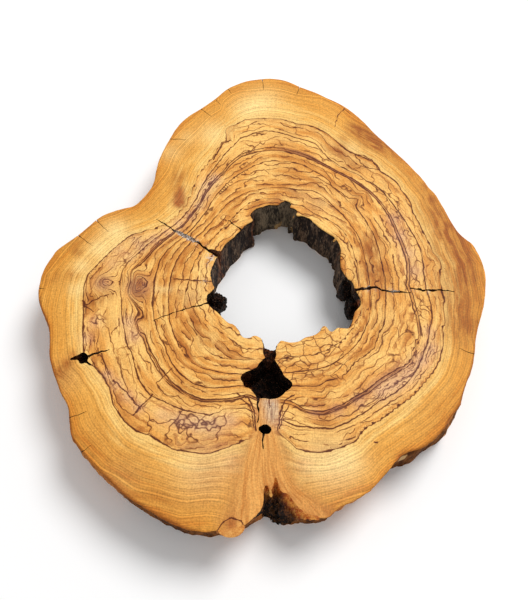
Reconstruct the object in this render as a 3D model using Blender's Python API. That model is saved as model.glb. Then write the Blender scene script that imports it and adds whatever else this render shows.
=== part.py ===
# A slice cut across an old, hollow olive trunk, lying flat on its sawn face.
# The slice's outline is written in millimetres, as it would be read off the sawn face with a
# ruler: +X to the right, +Y to the far side. Everything is turned into metres by MM.

import bpy
import bmesh
from math import cos, exp, hypot, radians, sin
from mathutils import Vector, noise

MM = 0.001

# Driving dimensions of the slice
THICKNESS = 50.0
EDGE_ROUND = 0.8
WALL_LEVELS = (1.5, 12.0, 24.0, 36.0, 46.0, 49.2)

# How finely a curve runs between two points of an outline
STEPS_PER_SPAN = 2

# How far every cutter stands clear of the face that it goes through
CLEARANCE = 3.0

# Two points closer than this are the same point, and a face whose normal rises more than
# this is sawn, not wall
WELD = 0.01
SAWN_SLOPE = 0.5

# The sawn rim of the upper face, anticlockwise from the far end
RIM = [
    (5, 251), (-8, 249.5), (-20, 247), (-31, 242), (-42, 235), (-52, 224), (-62, 214),
    (-72, 205), (-82, 197), (-91, 187), (-98, 175), (-103, 163), (-108, 150), (-112, 137),
    (-114.5, 122), (-116, 106), (-120, 95), (-127, 84.5), (-134, 76.5), (-144, 73.5),
    (-154, 70), (-166, 64), (-172, 58.5), (-180, 49.5), (-189, 40), (-200, 30), (-207, 23),
    (-211, 15), (-216, 3), (-218.5, -15), (-217.5, -28), (-213, -41), (-208, -50),
    (-203, -60), (-200.5, -72), (-198.5, -88), (-194, -102), (-188, -115), (-182, -127),
    (-175, -138), (-172, -151), (-169, -163), (-164, -171), (-157, -179), (-146, -190),
    (-132, -202), (-118, -214), (-100, -225), (-83, -234.5), (-68, -241), (-52, -244),
    (-36, -243), (-24, -241.5), (-15, -238.5), (-9, -233.5), (-3, -228.5), (2, -226.5),
    (7, -229.5), (12, -232), (22, -231.5), (34, -231.5),
    (46, -233.5), (54, -232.5), (59, -228), (64, -224.5), (73, -220), (83, -215), (93, -208),
    (101, -200), (108, -193), (113.5, -186.5), (119, -181), (127, -177.5), (138, -174.5),
    (146, -169.5), (154, -162.5), (160, -156), (165, -148), (172, -140), (176, -134),
    (180, -124), (186, -111), (191, -100), (195, -87), (198, -73), (203, -58), (208, -45),
    (212, -33), (215, -19), (217, -4), (216, 9), (212.5, 22), (208.5, 31), (203, 36.5),
    (197, 44), (192, 54.5), (188, 66), (183, 80), (178, 92), (173, 99), (168, 109),
    (160, 121), (151, 134), (141, 146.5), (131, 159), (121, 171.5), (111, 186),
    (101.5, 198), (91, 208.5), (81, 216), (70, 222.5), (60, 229), (50, 234), (40, 239),
    (32, 244), (22, 248.5), (12, 250.5),
]

# The ragged edge of the rotted hollow, clockwise from its far end
HOLLOW = [
    (0.6, 75.6), (6.5, 77.4), (14.7, 78), (18, 81), (24, 82), (28, 79), (26.8, 74),
    (31, 72.4), (33.8, 69.5), (33.2, 64.6), (39.4, 64.2), (44.7, 61.5), (51, 55.6),
    (59.4, 47.4), (66.5, 42), (71.8, 38), (74.4, 32), (76.3, 22), (76, 13), (75.6, 6),
    (77.4, -1), (80.6, -8), (85.6, -11.5), (87.8, -19), (90.6, -25), (93, -32),
    (91.8, -38), (87.6, -43), (84, -53), (80, -61), (75, -61.5), (69.5, -61), (63, -64.6),
    (57, -59), (51.8, -65), (45.3, -69), (38.2, -71), (32.4, -74.4), (25.3, -75.6),
    (19.5, -74.5), (16, -74), (12, -77.5), (6, -79), (0.5, -76), (-3, -71.5), (-8.8, -69),
    (-13.5, -71), (-19.4, -70.5), (-23.5, -63.8), (-28.8, -57.4), (-33.5, -55.8),
    (-39.4, -50.3), (-44.7, -44.5), (-49, -41), (-54, -35), (-55.3, -29.5), (-52, -23.5),
    (-48.5, -20), (-50.6, -13), (-52.4, -3), (-50.6, 4), (-47.6, 12.6), (-43, 22),
    (-39.5, 29), (-36.5, 33.2), (-28.8, 40.3), (-23, 48), (-17, 54.5), (-11.8, 58.5),
    (-13.8, 63.8), (-10.4, 71), (-4.7, 73.6),
]

# Where the outer wall swells or sinks under the rim: place, reach along the wall,
# how far it stands out half way down, and how far at the lower face
OUTER_SWELLS = [
    ((165, -150), 14, 5.0, 5.5),
    ((128, -180), 12, 2.0, 2.5),
    ((147, -171), 9, -1.0, -2.0),
    ((104, -197), 16, -1.5, -3.5),
    ((80, -216), 24, -2.0, -4.5),
    ((50, -232), 12, -1.5, -3.0),
    ((-18, -239), 16, -2.5, -4.5),
    ((-58, -243), 24, -1.0, -2.0),
    ((-127, 88), 26, 1.5, 3.0),
    ((-212, -30), 34, 1.5, -1.0),
    ((-188, -115), 26, -1.5, -2.5),
    ((-140, -196), 30, 1.5, 1.0),
    ((-75, 205), 34, 1.0, 2.5),
    ((10, 250), 40, -1.0, -1.0),
    ((120, 172), 40, 1.5, -2.0),
    ((186, 74), 26, -2.0, -3.0),
    ((214, 0), 26, -1.0, -1.5),
    ((196, -90), 24, 2.0, 1.0),
]

# The same for the wall of the hollow, where a plus narrows the hollow
HOLLOW_SWELLS = [
    ((72, 34), 6, 3.0, 2.0),
    ((76, 14), 8, 2.5, 3.0),
    ((14, 76), 12, 1.5, -1.5),
    ((-6, 66), 6, 2.0, 1.0),
    ((30, 68), 5, 3.0, 2.0),
    ((-40, 25), 14, 1.0, 2.5),
    ((60, -60), 12, -2.0, -5.0),
    ((-30, -60), 16, -1.5, -4.0),
    ((24, -76), 10, -2.0, -4.0),
]

# Everything nearer than this to the middle of the hollow belongs to its wall
HOLLOW_MIDDLE = (13.0, -8.0)
HOLLOW_REACH = 112.0

# How rough the walls are: broad patches, drawn out along the trunk, with finer ones on them,
# both fading out over the last few millimetres under the rim
OUTER_ROUGHNESS = 1.8
HOLLOW_ROUGHNESS = 3.8
GRAIN_PATCH = 9.0
GRAIN_STRETCH = 3.0
FINE_SHARE = 0.5
FINE_SCALE = 2.3
SMOOTH_UNDER_RIM = 4.0

# The notch between two flutes of the trunk: its edge on the upper face, and where the same
# points of its sloping back wall come out at the lower face
NOTCH_TOP = [
    (-7, -232), (-2.2, -225.5), (-0.4, -219), (0.6, -208), (2.4, -206.5), (5, -210),
    (7.2, -208.5), (8.6, -203), (10, -200), (12, -205), (15, -211.5), (19.5, -213.5),
    (24, -218.5), (30, -225.5), (37, -230), (46, -232.5), (52, -246), (-7, -246),
]
NOTCH_FOOT = [
    (-9, -237), (-5, -232), (-2.5, -229), (0, -226), (2, -225), (4, -226.5),
    (6, -228), (8, -229), (10, -229.5), (12, -231), (15, -233), (19.5, -234),
    (24, -234.5), (30, -235), (37, -235.5), (46, -237), (52, -250), (-9, -250),
]
NOTCH_BEND_LEVEL = 27.5
NOTCH_BEND = 0.55
NOTCH_RAGGED = 0.25
NOTCH_PATCH = 5.0

# How the sides of the pits are ragged half way down, and how uneven their floors are
PIT_BEND = 0.5
PIT_RAGGED = 0.9
PIT_PATCH = 6.0
FLOOR_SHARE = 0.5
FLOOR_UNEVEN = 0.3
FLOOR_PATCH = 5.0

# The black rotted pocket, and the bark channel that joins it to the hollow
POCKET_TOP = [
    (3.5, -90.5), (8.8, -92), (12, -97), (15.5, -102.5), (18.5, -109), (22.5, -112.3),
    (25.6, -116.5), (24.6, -120), (20, -123.5), (15.5, -128), (8, -130.8), (1, -130),
    (-5.5, -129.6), (-9.5, -125), (-13.5, -120.5), (-17.6, -119.5), (-19, -115.5),
    (-21.4, -110.5), (-18.5, -106.2), (-12, -103.3), (-6.5, -100), (-3.5, -95.5),
]
POCKET_DEPTH = 32.0
POCKET_CLOSING = 0.84
POCKET_MIDDLE = (2.0, -112.0)

CHANNEL_TOP = [
    (-3, -62), (13, -62), (12.4, -77.5), (11, -84), (11.6, -88.5), (8.6, -94),
    (3, -97), (0.6, -90.5), (-1.2, -85), (-0.8, -78.5), (-2.4, -72.5),
]
CHANNEL_DEPTH = 13.0
CHANNEL_CLOSING = 0.8
CHANNEL_MIDDLE = (5.5, -78.0)

# The small hole where the two flutes meet
SMALL_HOLE_TOP = [
    (-5, -157.5), (-2.4, -155), (1, -154), (4.2, -155), (6.4, -158), (5.2, -161.4),
    (0.8, -162.4), (-3.2, -160.8),
]
SMALL_HOLE_DEPTH = 14.0
SMALL_HOLE_CLOSING = 0.7
SMALL_HOLE_MIDDLE = (1.0, -158.5)

# The bark pit near the left rim
PIT_TOP = [
    (-178.5, -93), (-176, -90.4), (-171.5, -88.2), (-167, -86), (-163.5, -88),
    (-161.6, -91), (-162.5, -94), (-158.8, -98.4), (-164, -96.5), (-169, -97),
    (-171, -93.8), (-175, -93.4),
]
PIT_DEPTH = 11.0
PIT_CLOSING = 0.65
PIT_MIDDLE = (-167.5, -92.0)

# Drying cracks: each is a line of points with the crack's width there, and its depth
CRACKS = [
    ("crack_right", 26.0, [
        ((82, -20), 6.5), ((90, -20.5), 4.6), ((99, -20), 3.4), ((106, -18.6), 4.2),
        ((117, -22), 2.8), ((129, -23.6), 2.4), ((142, -24), 1.2)]),
    ("crack_right_outer", 14.0, [
        ((142, -19), 0.8), ((149, -20.5), 2.4), ((160, -21.6), 2.8), ((169, -21.4), 2.2),
        ((182, -23), 0.8)]),
    ("crack_left", 24.0, [
        ((-40, 17), 9.0), ((-48, 20), 6.0), ((-56, 24), 5.0), ((-64, 30), 4.0),
        ((-73, 36), 4.4), ((-81, 41), 2.8), ((-91, 46.5), 1.8), ((-110, 60), 0.8)]),
    ("crack_left_low", 12.0, [
        ((-52, -34.5), 3.0), ((-62, -37.5), 1.6), ((-80, -43), 1.3), ((-105, -53), 0.8)]),
    ("crack_far_left", 10.0, [
        ((-20, 45), 2.4), ((-27, 50.5), 1.4), ((-37, 58.5), 0.8)]),
    ("crack_pit", 8.0, [
        ((-163, -90), 2.4), ((-154, -86.5), 1.8), ((-143, -83), 0.8)]),
    ("crack_pocket", 10.0, [
        ((-4.6, -127), 2.4), ((-6, -135), 1.6), ((-4.4, -144), 1.4), ((-5.8, -152), 0.8)]),
    ("crack_notch", 8.0, [
        ((0.4, -160), 1.6), ((-0.6, -168), 1.4), ((-0.8, -176), 0.8)]),
]
CRACK_CLOSING = 0.2

# Short rim checks, each from outside the rim to its end on the face
RIM_CHECK_WIDTH = 1.6
RIM_CHECK_END = 0.5
RIM_CHECK_DEPTH = 16.0
RIM_CHECKS = [
    ((-3, 254), (0, 233)), ((42, 241), (37, 226)), ((-43.5, 237), (-36, 228)),
    ((-57, 223.5), (-49, 212)), ((-72, 207), (-58, 194)), ((-105.5, 163), (-84, 162)),
    ((-173, 61.5), (-158, 45)), ((-190, 42.5), (-171, 28)), ((-221, -19), (-210, -20)),
    ((-175, -149.5), (-157, -142)), ((-160, -180), (-150, -172)), ((199, -90), (181, -82)),
]

# The dark knob that stands out of the hollow's left wall, and the bark lumps on its right
KNOBS = [
    ((-47.5, -24.5, 26.0), (10.2, 8.4, 15.5)),
    ((-50.2, -34.3, 21.0), (6.8, 7.2, 17.2)),
    ((83.0, -9.0, 24.0), (8.5, 8.0, 17.0)),
    ((88.5, -27.0, 19.0), (8.0, 10.0, 16.0)),
]
KNOB_ROUGHNESS = 0.44
KNOB_LUMPS = 1.9

# The sawn knot on the near edge: its middle and radii on the face, and how it draws in
# below, as levels under the face with the share of its size left and the step inwards
KNOT_MIDDLE = (-27.5, -240.0)
KNOT_RADII = (11.6, 8.4)
KNOT_SIDES = 20
KNOT_LEVELS = ((0.0, 0.97, 0.0), (1.0, 1.0, 0.0), (5.0, 0.97, 0.5), (10.0, 0.78, 2.5),
               (18.0, 0.35, 7.0))

WOOD_COLOUR = (0.62, 0.36, 0.11, 1.0)
WOOD_ROUGHNESS = 0.5


def outline_curve(name, loops):
    """A flat curve through each loop's points, as thick as the slice."""
    curve = bpy.data.curves.new(name, "CURVE")
    curve.dimensions = "2D"
    curve.fill_mode = "BOTH"
    curve.extrude = THICKNESS / 2
    curve.resolution_u = STEPS_PER_SPAN
    for points in loops:
        spline = curve.splines.new("BEZIER")
        spline.bezier_points.add(len(points) - 1)
        for bezier_point, (x, y) in zip(spline.bezier_points, points):
            bezier_point.co = (x, y, 0)
            bezier_point.handle_left_type = "AUTO"
            bezier_point.handle_right_type = "AUTO"
        spline.use_cyclic_u = True
    return bpy.data.objects.new(name, curve)


def welded_mesh(curve_object):
    """The curve's evaluated mesh with its caps joined to its walls, standing on its foot."""
    bpy.context.scene.collection.objects.link(curve_object)
    depsgraph = bpy.context.evaluated_depsgraph_get()
    mesh = bpy.data.meshes.new_from_object(curve_object.evaluated_get(depsgraph))
    bpy.data.objects.remove(curve_object)
    bm = bmesh.new()
    bm.from_mesh(mesh)
    bpy.data.meshes.remove(mesh)
    bmesh.ops.remove_doubles(bm, verts=bm.verts, dist=WELD)
    bmesh.ops.translate(bm, verts=bm.verts, vec=(0, 0, THICKNESS / 2))
    return bm


def sawn_faces(bm):
    return [face for face in bm.faces if abs(face.normal.z) > SAWN_SLOPE]


def wall_faces(bm):
    return [face for face in bm.faces if abs(face.normal.z) <= SAWN_SLOPE]


def swell_at(swells, x, y, z):
    """How far the wall stands out at this place and level."""
    depth = 1 - z / THICKNESS
    total = 0.0
    for (place_x, place_y), reach, middle, foot in swells:
        near = exp(-(hypot(x - place_x, y - place_y) / reach) ** 2)
        by_level = 4 * depth * (1 - depth) * middle + depth * (2 * depth - 1) * foot
        total += near * by_level
    return total


def wall_push(x, y, z):
    """How far a point of a wall moves outwards from the straight sawn outline."""
    in_hollow = hypot(x - HOLLOW_MIDDLE[0], y - HOLLOW_MIDDLE[1]) < HOLLOW_REACH
    swells = HOLLOW_SWELLS if in_hollow else OUTER_SWELLS
    roughness = HOLLOW_ROUGHNESS if in_hollow else OUTER_ROUGHNESS
    patch = Vector((x, y, z / GRAIN_STRETCH)) / GRAIN_PATCH
    rough = noise.noise(patch) + FINE_SHARE * noise.noise(patch * FINE_SCALE)
    below_rim = min(1.0, (THICKNESS - z) / SMOOTH_UNDER_RIM)
    push = swell_at(swells, x, y, z) + rough * roughness * below_rim
    if z < WELD or z > THICKNESS - WELD:
        push -= EDGE_ROUND
    return push


def shape_walls(bm):
    """Cut the walls into levels, then swell, sink and roughen them below the rim."""
    for level in WALL_LEVELS:
        walls = wall_faces(bm)
        edges = {edge for face in walls for edge in face.edges}
        corners = {corner for face in walls for corner in face.verts}
        bmesh.ops.bisect_plane(bm, geom=walls + list(edges) + list(corners),
                               plane_co=(0, 0, level), plane_no=(0, 0, 1), dist=WELD / 100)
        bm.normal_update()
    bmesh.ops.delete(bm, geom=sawn_faces(bm), context="FACES")
    moves = {}
    for corner in bm.verts:
        outward = sum((face.normal for face in corner.link_faces), Vector())
        outward.z = 0
        moves[corner] = outward.normalized() * wall_push(*corner.co)
    for corner, move in moves.items():
        corner.co += move
    for level in (0.0, THICKNESS):
        open_edges = [edge for edge in bm.edges if edge.is_boundary
                      and abs(edge.verts[0].co.z - level) < WELD]
        bmesh.ops.triangle_fill(bm, edges=open_edges, use_beauty=True)
    bmesh.ops.recalc_face_normals(bm, faces=bm.faces)


def finish_mesh(bm, name):
    """Turn a bmesh in millimetres into an object in metres."""
    bmesh.ops.scale(bm, verts=bm.verts, vec=(MM, MM, MM))
    mesh = bpy.data.meshes.new(name)
    bm.to_mesh(mesh)
    bm.free()
    return bpy.data.objects.new(name, mesh)


def loft(name, sections):
    """A closed solid through sections of the same number of points, from top to foot."""
    bm = bmesh.new()
    rings = [[bm.verts.new(point) for point in section] for section in sections]
    for upper, lower in zip(rings, rings[1:]):
        for i in range(len(upper)):
            j = (i + 1) % len(upper)
            bm.faces.new((upper[i], upper[j], lower[j], lower[i]))
    bm.faces.new(rings[0])
    bm.faces.new(rings[-1])
    bmesh.ops.triangulate(bm, faces=[face for face in bm.faces if len(face.verts) > 4])
    bmesh.ops.recalc_face_normals(bm, faces=bm.faces)
    return finish_mesh(bm, name)


def level_section(points, level):
    return [(x, y, level) for x, y in points]


def drawn_in(points, middle, share):
    """The same outline drawn in towards its middle."""
    return [(middle[0] + (x - middle[0]) * share, middle[1] + (y - middle[1]) * share)
            for x, y in points]


def rough_pit(name, points, middle, depth, closing):
    """A cutter with ragged sides that close in towards an uneven floor."""
    floor_points = drawn_in(points, middle, closing)
    half_way = []
    for (x, y), (floor_x, floor_y) in zip(points, floor_points):
        ragged = PIT_BEND + PIT_RAGGED * noise.noise(Vector((x, y, depth)) / PIT_PATCH)
        half_way.append((x + (floor_x - x) * ragged, y + (floor_y - y) * ragged))
    floor = []
    for x, y in floor_points + drawn_in(floor_points, middle, FLOOR_SHARE):
        uneven = FLOOR_UNEVEN * noise.noise(Vector((x, y, depth)) / FLOOR_PATCH)
        floor.append((x, y, THICKNESS - depth * (1 - uneven)))
    return loft(name, [
        level_section(points, THICKNESS + CLEARANCE),
        level_section(points, THICKNESS),
        level_section(half_way, THICKNESS - depth / 2),
        floor[:len(points)],
        floor[len(points):],
    ])


def crack_cutter(name, depth, line):
    """A wedge along the crack's line, wide at the face and closing to its foot."""
    left = []
    right = []
    for i, ((x, y), width) in enumerate(line):
        before = Vector(line[max(i - 1, 0)][0])
        after = Vector(line[min(i + 1, len(line) - 1)][0])
        along = (after - before).normalized()
        side = Vector((-along.y, along.x)) * width / 2
        left.append(((x, y), (side.x, side.y)))
        right.append(((x, y), (-side.x, -side.y)))
    around = left + right[::-1]

    def section(share, level):
        return [(x + side_x * share, y + side_y * share, level)
                for (x, y), (side_x, side_y) in around]

    return loft(name, [
        section(1.0, THICKNESS + CLEARANCE),
        section(1.0, THICKNESS),
        section(CRACK_CLOSING, THICKNESS - depth),
    ])


def rough_knob(name, middle, radii):
    """A lump of bark: a sphere stretched to its radii, with an uneven surface."""
    bm = bmesh.new()
    bmesh.ops.create_icosphere(bm, subdivisions=2, radius=1.0)
    for corner in bm.verts:
        corner.co *= 1 + KNOB_ROUGHNESS * noise.noise(corner.co * KNOB_LUMPS + Vector(middle))
    bmesh.ops.scale(bm, verts=bm.verts, vec=radii)
    bmesh.ops.translate(bm, verts=bm.verts, vec=middle)
    return finish_mesh(bm, name)


def sawn_knot():
    """The knot: flush with the face, rounded and drawn in below it."""
    sections = []
    for depth, share, inwards in KNOT_LEVELS:
        ring = []
        for i in range(KNOT_SIDES):
            turn = radians(360 * i / KNOT_SIDES)
            x = KNOT_MIDDLE[0] + KNOT_RADII[0] * share * cos(turn)
            y = KNOT_MIDDLE[1] + KNOT_RADII[1] * share * sin(turn) + inwards
            ring.append((x, y, THICKNESS - depth))
        sections.append(ring)
    return loft("knot", sections)


def notch_cutter():
    """The notch: open at the rim, its back wall sloping out to the lower face."""
    middle = []
    for (top_x, top_y), (foot_x, foot_y) in zip(NOTCH_TOP, NOTCH_FOOT):
        ragged = NOTCH_RAGGED * noise.noise(Vector((top_x, top_y, 0)) / NOTCH_PATCH)
        share = NOTCH_BEND + ragged
        middle.append((top_x + (foot_x - top_x) * share, top_y + (foot_y - top_y) * share))
    return loft("notch_cutter", [
        level_section(NOTCH_TOP, THICKNESS + CLEARANCE),
        level_section(NOTCH_TOP, THICKNESS),
        level_section(middle, NOTCH_BEND_LEVEL),
        level_section(NOTCH_FOOT, -CLEARANCE),
    ])


def add_boolean(target, tool, operation):
    modifier = target.modifiers.new(tool.name, "BOOLEAN")
    modifier.operation = operation
    modifier.object = tool
    modifier.solver = "EXACT"


def wood_material():
    material = bpy.data.materials.new("olive_wood")
    material.use_nodes = True
    shader = material.node_tree.nodes["Principled BSDF"]
    shader.inputs["Base Color"].default_value = WOOD_COLOUR
    shader.inputs["Roughness"].default_value = WOOD_ROUGHNESS
    shader.inputs["Metallic"].default_value = 0.0
    material.diffuse_color = WOOD_COLOUR
    return material


def centre_on_origin(everything, *outermost):
    """Move everything so that the slice's box stands centred on the origin."""
    corners = [corner.co for thing in outermost for corner in thing.data.vertices]
    middle_x = (min(co.x for co in corners) + max(co.x for co in corners)) / 2
    middle_y = (min(co.y for co in corners) + max(co.y for co in corners)) / 2
    for thing in everything:
        thing.location = (-middle_x, -middle_y, 0)


def collection(name):
    made = bpy.data.collections.new(name)
    bpy.context.scene.collection.children.link(made)
    return made


def build():
    for old in list(bpy.data.objects):
        bpy.data.objects.remove(old)
    part = collection("olive_wood_slice")
    tools = collection("cutters")

    bm = welded_mesh(outline_curve("outline", [RIM, HOLLOW]))
    shape_walls(bm)
    slice_object = finish_mesh(bm, "slice")
    part.objects.link(slice_object)
    slice_object.data.materials.append(wood_material())

    knobs = [rough_knob(f"knob_{i}", *knob) for i, knob in enumerate(KNOBS)]
    knobs.append(sawn_knot())
    cutters = [
        notch_cutter(),
        rough_pit("pocket", POCKET_TOP, POCKET_MIDDLE, POCKET_DEPTH, POCKET_CLOSING),
        rough_pit("channel", CHANNEL_TOP, CHANNEL_MIDDLE, CHANNEL_DEPTH, CHANNEL_CLOSING),
        rough_pit("small_hole", SMALL_HOLE_TOP, SMALL_HOLE_MIDDLE, SMALL_HOLE_DEPTH,
                  SMALL_HOLE_CLOSING),
        rough_pit("pit", PIT_TOP, PIT_MIDDLE, PIT_DEPTH, PIT_CLOSING),
    ]
    cutters += [crack_cutter(*crack) for crack in CRACKS]
    for i, (outer, inner) in enumerate(RIM_CHECKS):
        line = [(outer, RIM_CHECK_WIDTH), (inner, RIM_CHECK_END)]
        cutters.append(crack_cutter(f"rim_check_{i}", RIM_CHECK_DEPTH, line))

    for tool in knobs + cutters:
        tools.objects.link(tool)
        tool.hide_render = True
        tool.display_type = "WIRE"
    for knob in knobs:
        add_boolean(slice_object, knob, "UNION")
    for cutter in cutters:
        add_boolean(slice_object, cutter, "DIFFERENCE")
    centre_on_origin([slice_object] + knobs + cutters, slice_object, knobs[-1])


build()
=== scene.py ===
# The looks of the olive wood slice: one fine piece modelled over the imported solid, with its
# ring figure, bark, cracks and soft studio light.
# The slice is drawn in millimetres as it would be read off the sawn face with a ruler, +X to
# the right and +Y to the far side, and is scaled to metres when its shape is done.
from math import atan2, cos, exp, hypot, pi, radians, sin

import bpy
import bmesh
import numpy as np
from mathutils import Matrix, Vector, noise
from mathutils.kdtree import KDTree


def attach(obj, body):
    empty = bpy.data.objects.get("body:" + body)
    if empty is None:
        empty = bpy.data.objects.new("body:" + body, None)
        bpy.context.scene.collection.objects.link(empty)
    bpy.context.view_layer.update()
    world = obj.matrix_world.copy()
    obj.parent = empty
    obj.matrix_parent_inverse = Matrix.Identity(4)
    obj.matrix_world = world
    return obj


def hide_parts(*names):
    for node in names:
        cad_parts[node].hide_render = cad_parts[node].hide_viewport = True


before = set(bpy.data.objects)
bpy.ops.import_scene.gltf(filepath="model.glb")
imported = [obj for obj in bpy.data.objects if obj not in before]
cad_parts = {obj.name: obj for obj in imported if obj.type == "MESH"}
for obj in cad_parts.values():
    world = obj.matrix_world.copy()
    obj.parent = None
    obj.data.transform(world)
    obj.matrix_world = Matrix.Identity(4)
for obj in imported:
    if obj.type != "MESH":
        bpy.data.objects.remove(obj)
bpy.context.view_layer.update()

ruler = {
    "mm": 0.001,
    "shift": (1.532, -1.452),     # moves the drawn slice so that it stands centred on the origin
    "heart": (13.0, -8.0),         # the middle of the hollow, which the rings run round
    "thickness": 50.0,
    "weld": 0.01,
    "overlap": 3.0,                # how far a cutting tool stands clear of the face
    "sawnSlope": 0.5,              # a face whose normal rises more than this is sawn
    "seed": 5,
}
noise.seed_set(ruler["seed"])      # so that the vector noise is the same in each run


def inMetres(x, y, z=0.0):
    return Vector((x + ruler["shift"][0], y + ruler["shift"][1], z)) * ruler["mm"]


print("camera")
viewpoint = {
    "target": (0.0, -32.0, 50.0),  # on the sawn face
    "distance": 0.640,
    "tilt": 26.0,                  # off straight down
    "lens": 39.96,
}


def placeCamera():
    tilt = radians(viewpoint["tilt"])
    target = inMetres(*viewpoint["target"])
    place = target + viewpoint["distance"] * Vector((0, -sin(tilt), cos(tilt)))
    turn = (target - place).to_track_quat("-Z", "Y").to_euler()
    bpy.ops.object.camera_add(location=place, rotation=turn)
    camera = bpy.context.object
    camera.name = "studioCamera"
    camera.data.lens = viewpoint["lens"]
    bpy.context.scene.camera = camera


placeCamera()


print("finishes")


def tint(red, green, blue):
    # a colour as a screen shows it, 0 to 255, made linear for the shaders
    parts = (red / 255, green / 255, blue / 255)
    return (*(((part + 0.055) / 1.055) ** 2.4 for part in parts), 1.0)


woodTints = {
    "palePart": tint(249, 196, 112),
    "midPart": tint(229, 161, 77),
    "deepPart": tint(174, 98, 34),
    "halo": tint(168, 92, 34),
    "line": tint(82, 32, 14),
    "burnt": tint(176, 104, 44),
    "purplePart": tint(222, 174, 134),
    "purpleLine": tint(92, 48, 46),
    "purpleBurnt": tint(168, 110, 86),
    "purpleBand": tint(146, 96, 72),
    "brownPart": tint(158, 88, 34),
    "paleBand": tint(254, 220, 148),
    "thread": tint(150, 96, 44),
    "rust": tint(158, 78, 32),
    "edge": tint(150, 84, 28),
    "rustCrust": tint(190, 100, 46),
    "cream": tint(226, 196, 158),
    "creamDeep": tint(142, 108, 92),
    "sapNear": tint(244, 198, 116),
    "sapMid": tint(228, 165, 76),
    "sapFar": tint(218, 149, 60),
    "sapRim": tint(206, 132, 48),
    "columnPale": tint(232, 168, 90),
    "columnDeep": tint(194, 122, 54),
    "columnEdge": tint(158, 98, 54),
    "fleckWhite": tint(214, 200, 184),
    "dustWhite": tint(222, 196, 168),
    # near black: the dark gaps between bark scales, and the painted shade just under the sawn face
    "darkGapAndShade": tint(14, 8, 5),
}

bench = {
    "tree": None,                  # the node tree that is being wired
    "rows": 8,
    "step": 190,
}


def newNode(kind, **settings):
    nodes = bench["tree"].nodes
    node = nodes.new("ShaderNode" + kind)
    column, row = divmod(len(nodes), bench["rows"])
    node.location = (column * bench["step"], -row * bench["step"])
    for name, value in settings.items():
        setattr(node, name, value)
    return node


def plug(socket, value):
    # a value is a socket, a number, a vector, or the name of a wood tint
    if isinstance(value, bpy.types.NodeSocket):
        bench["tree"].links.new(value, socket)
    else:
        socket.default_value = woodTints[value] if isinstance(value, str) else value


def wire(node, values):
    for name, value in values.items():
        plug(node.inputs[name], value)
    return node.outputs


def calc(operation, *values):
    return wire(newNode("Math", operation=operation), dict(enumerate(values)))[0]


def plus(first, second):
    return calc("ADD", first, second)


def minus(first, second):
    return calc("SUBTRACT", first, second)


def times(first, second):
    return calc("MULTIPLY", first, second)


def over(first, second):
    return calc("DIVIDE", first, second)


def timesPlus(first, second, third):
    return calc("MULTIPLY_ADD", first, second, third)


def centred(wave):
    # a noise runs from 0 to 1
    return minus(wave, 0.5)


def varied(value, wave, amount):
    return timesPlus(centred(wave), amount, value)


def strongest(*values):
    best = values[0]
    for value in values[1:]:
        best = calc("MAXIMUM", best, value)
    return best


def calcVector(operation, *values, scale=None):
    node = newNode("VectorMath", operation=operation)
    wire(node, dict(enumerate(values)))
    if scale is not None:
        plug(node.inputs["Scale"], scale)
    return node.outputs["Value" if operation in ("DOT_PRODUCT", "LENGTH") else "Vector"]


def ramp(value, low, high, toLow=0.0, toHigh=1.0):
    node = newNode("MapRange", interpolation_type="SMOOTHSTEP", clamp=False)
    return wire(node, {"Value": value, "From Min": low, "From Max": high,
                       "To Min": toLow, "To Max": toHigh})["Result"]


def falling(value, low, high):
    return ramp(value, low, high, 1.0, 0.0)


def blendTints(share, first, second, blend="MIX"):
    node = newNode("Mix", data_type="RGBA", blend_type=blend)
    return wire(node, {0: share, 6: first, 7: second})[2]


def tintRamp(value, stops):
    node = newNode("ValToRGB")
    colours = node.color_ramp.elements
    while len(colours) < len(stops):
        colours.new(0.5)
    for colour, (place, shade) in zip(colours, stops):
        colour.position = place
        colour.color = woodTints.get(shade, shade)
    return wire(node, {"Fac": value})["Color"]


def scaleFor(size):
    return over(1.0, size) if isinstance(size, bpy.types.NodeSocket) else 1 / size


def noiseAt(place, size, detail=1.0, rough=0.5):
    # size is about one patch, in the units of the place
    node = newNode("TexNoise")
    return wire(node, {"Vector": place, "Scale": scaleFor(size), "Detail": detail,
                       "Roughness": rough})["Fac"]


def shakeAt(place, size, detail, amount):
    # a random shift of the place
    node = newNode("TexNoise")
    shift = wire(node, {"Vector": place, "Scale": scaleFor(size), "Detail": detail})["Color"]
    shift = calcVector("SUBTRACT", shift, (0.5, 0.5, 0.5))
    return calcVector("SCALE", shift, scale=amount)


def cellsAt(place, size, feature):
    node = newNode("TexVoronoi", feature=feature)
    return wire(node, {"Vector": place, "Scale": scaleFor(size)})["Distance"]


def stepsAt(value, feature, output):
    # random steps along one number
    node = newNode("TexVoronoi", voronoi_dimensions="1D", feature=feature)
    return wire(node, {"W": value, "Scale": 1.0})[output]


def fromHeart(place):
    # the direction in which a place lies from the heart
    away = calcVector("SUBTRACT", place, (*ruler["heart"], 0.0))
    return calcVector("NORMALIZE", calcVector("MULTIPLY", away, (1.0, 1.0, 0.0)))


def ringWise(outward, turns, across):
    # a place for noise that is drawn out along the rings
    node = newNode("CombineXYZ")
    plug(node.inputs[2], across)
    return calcVector("ADD", calcVector("SCALE", outward, scale=turns), node.outputs[0])


def broken(fade, gaps):
    # a line is left out where the fade is below its gaps
    return ramp(fade, minus(gaps, 0.05), plus(gaps, 0.05))


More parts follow.
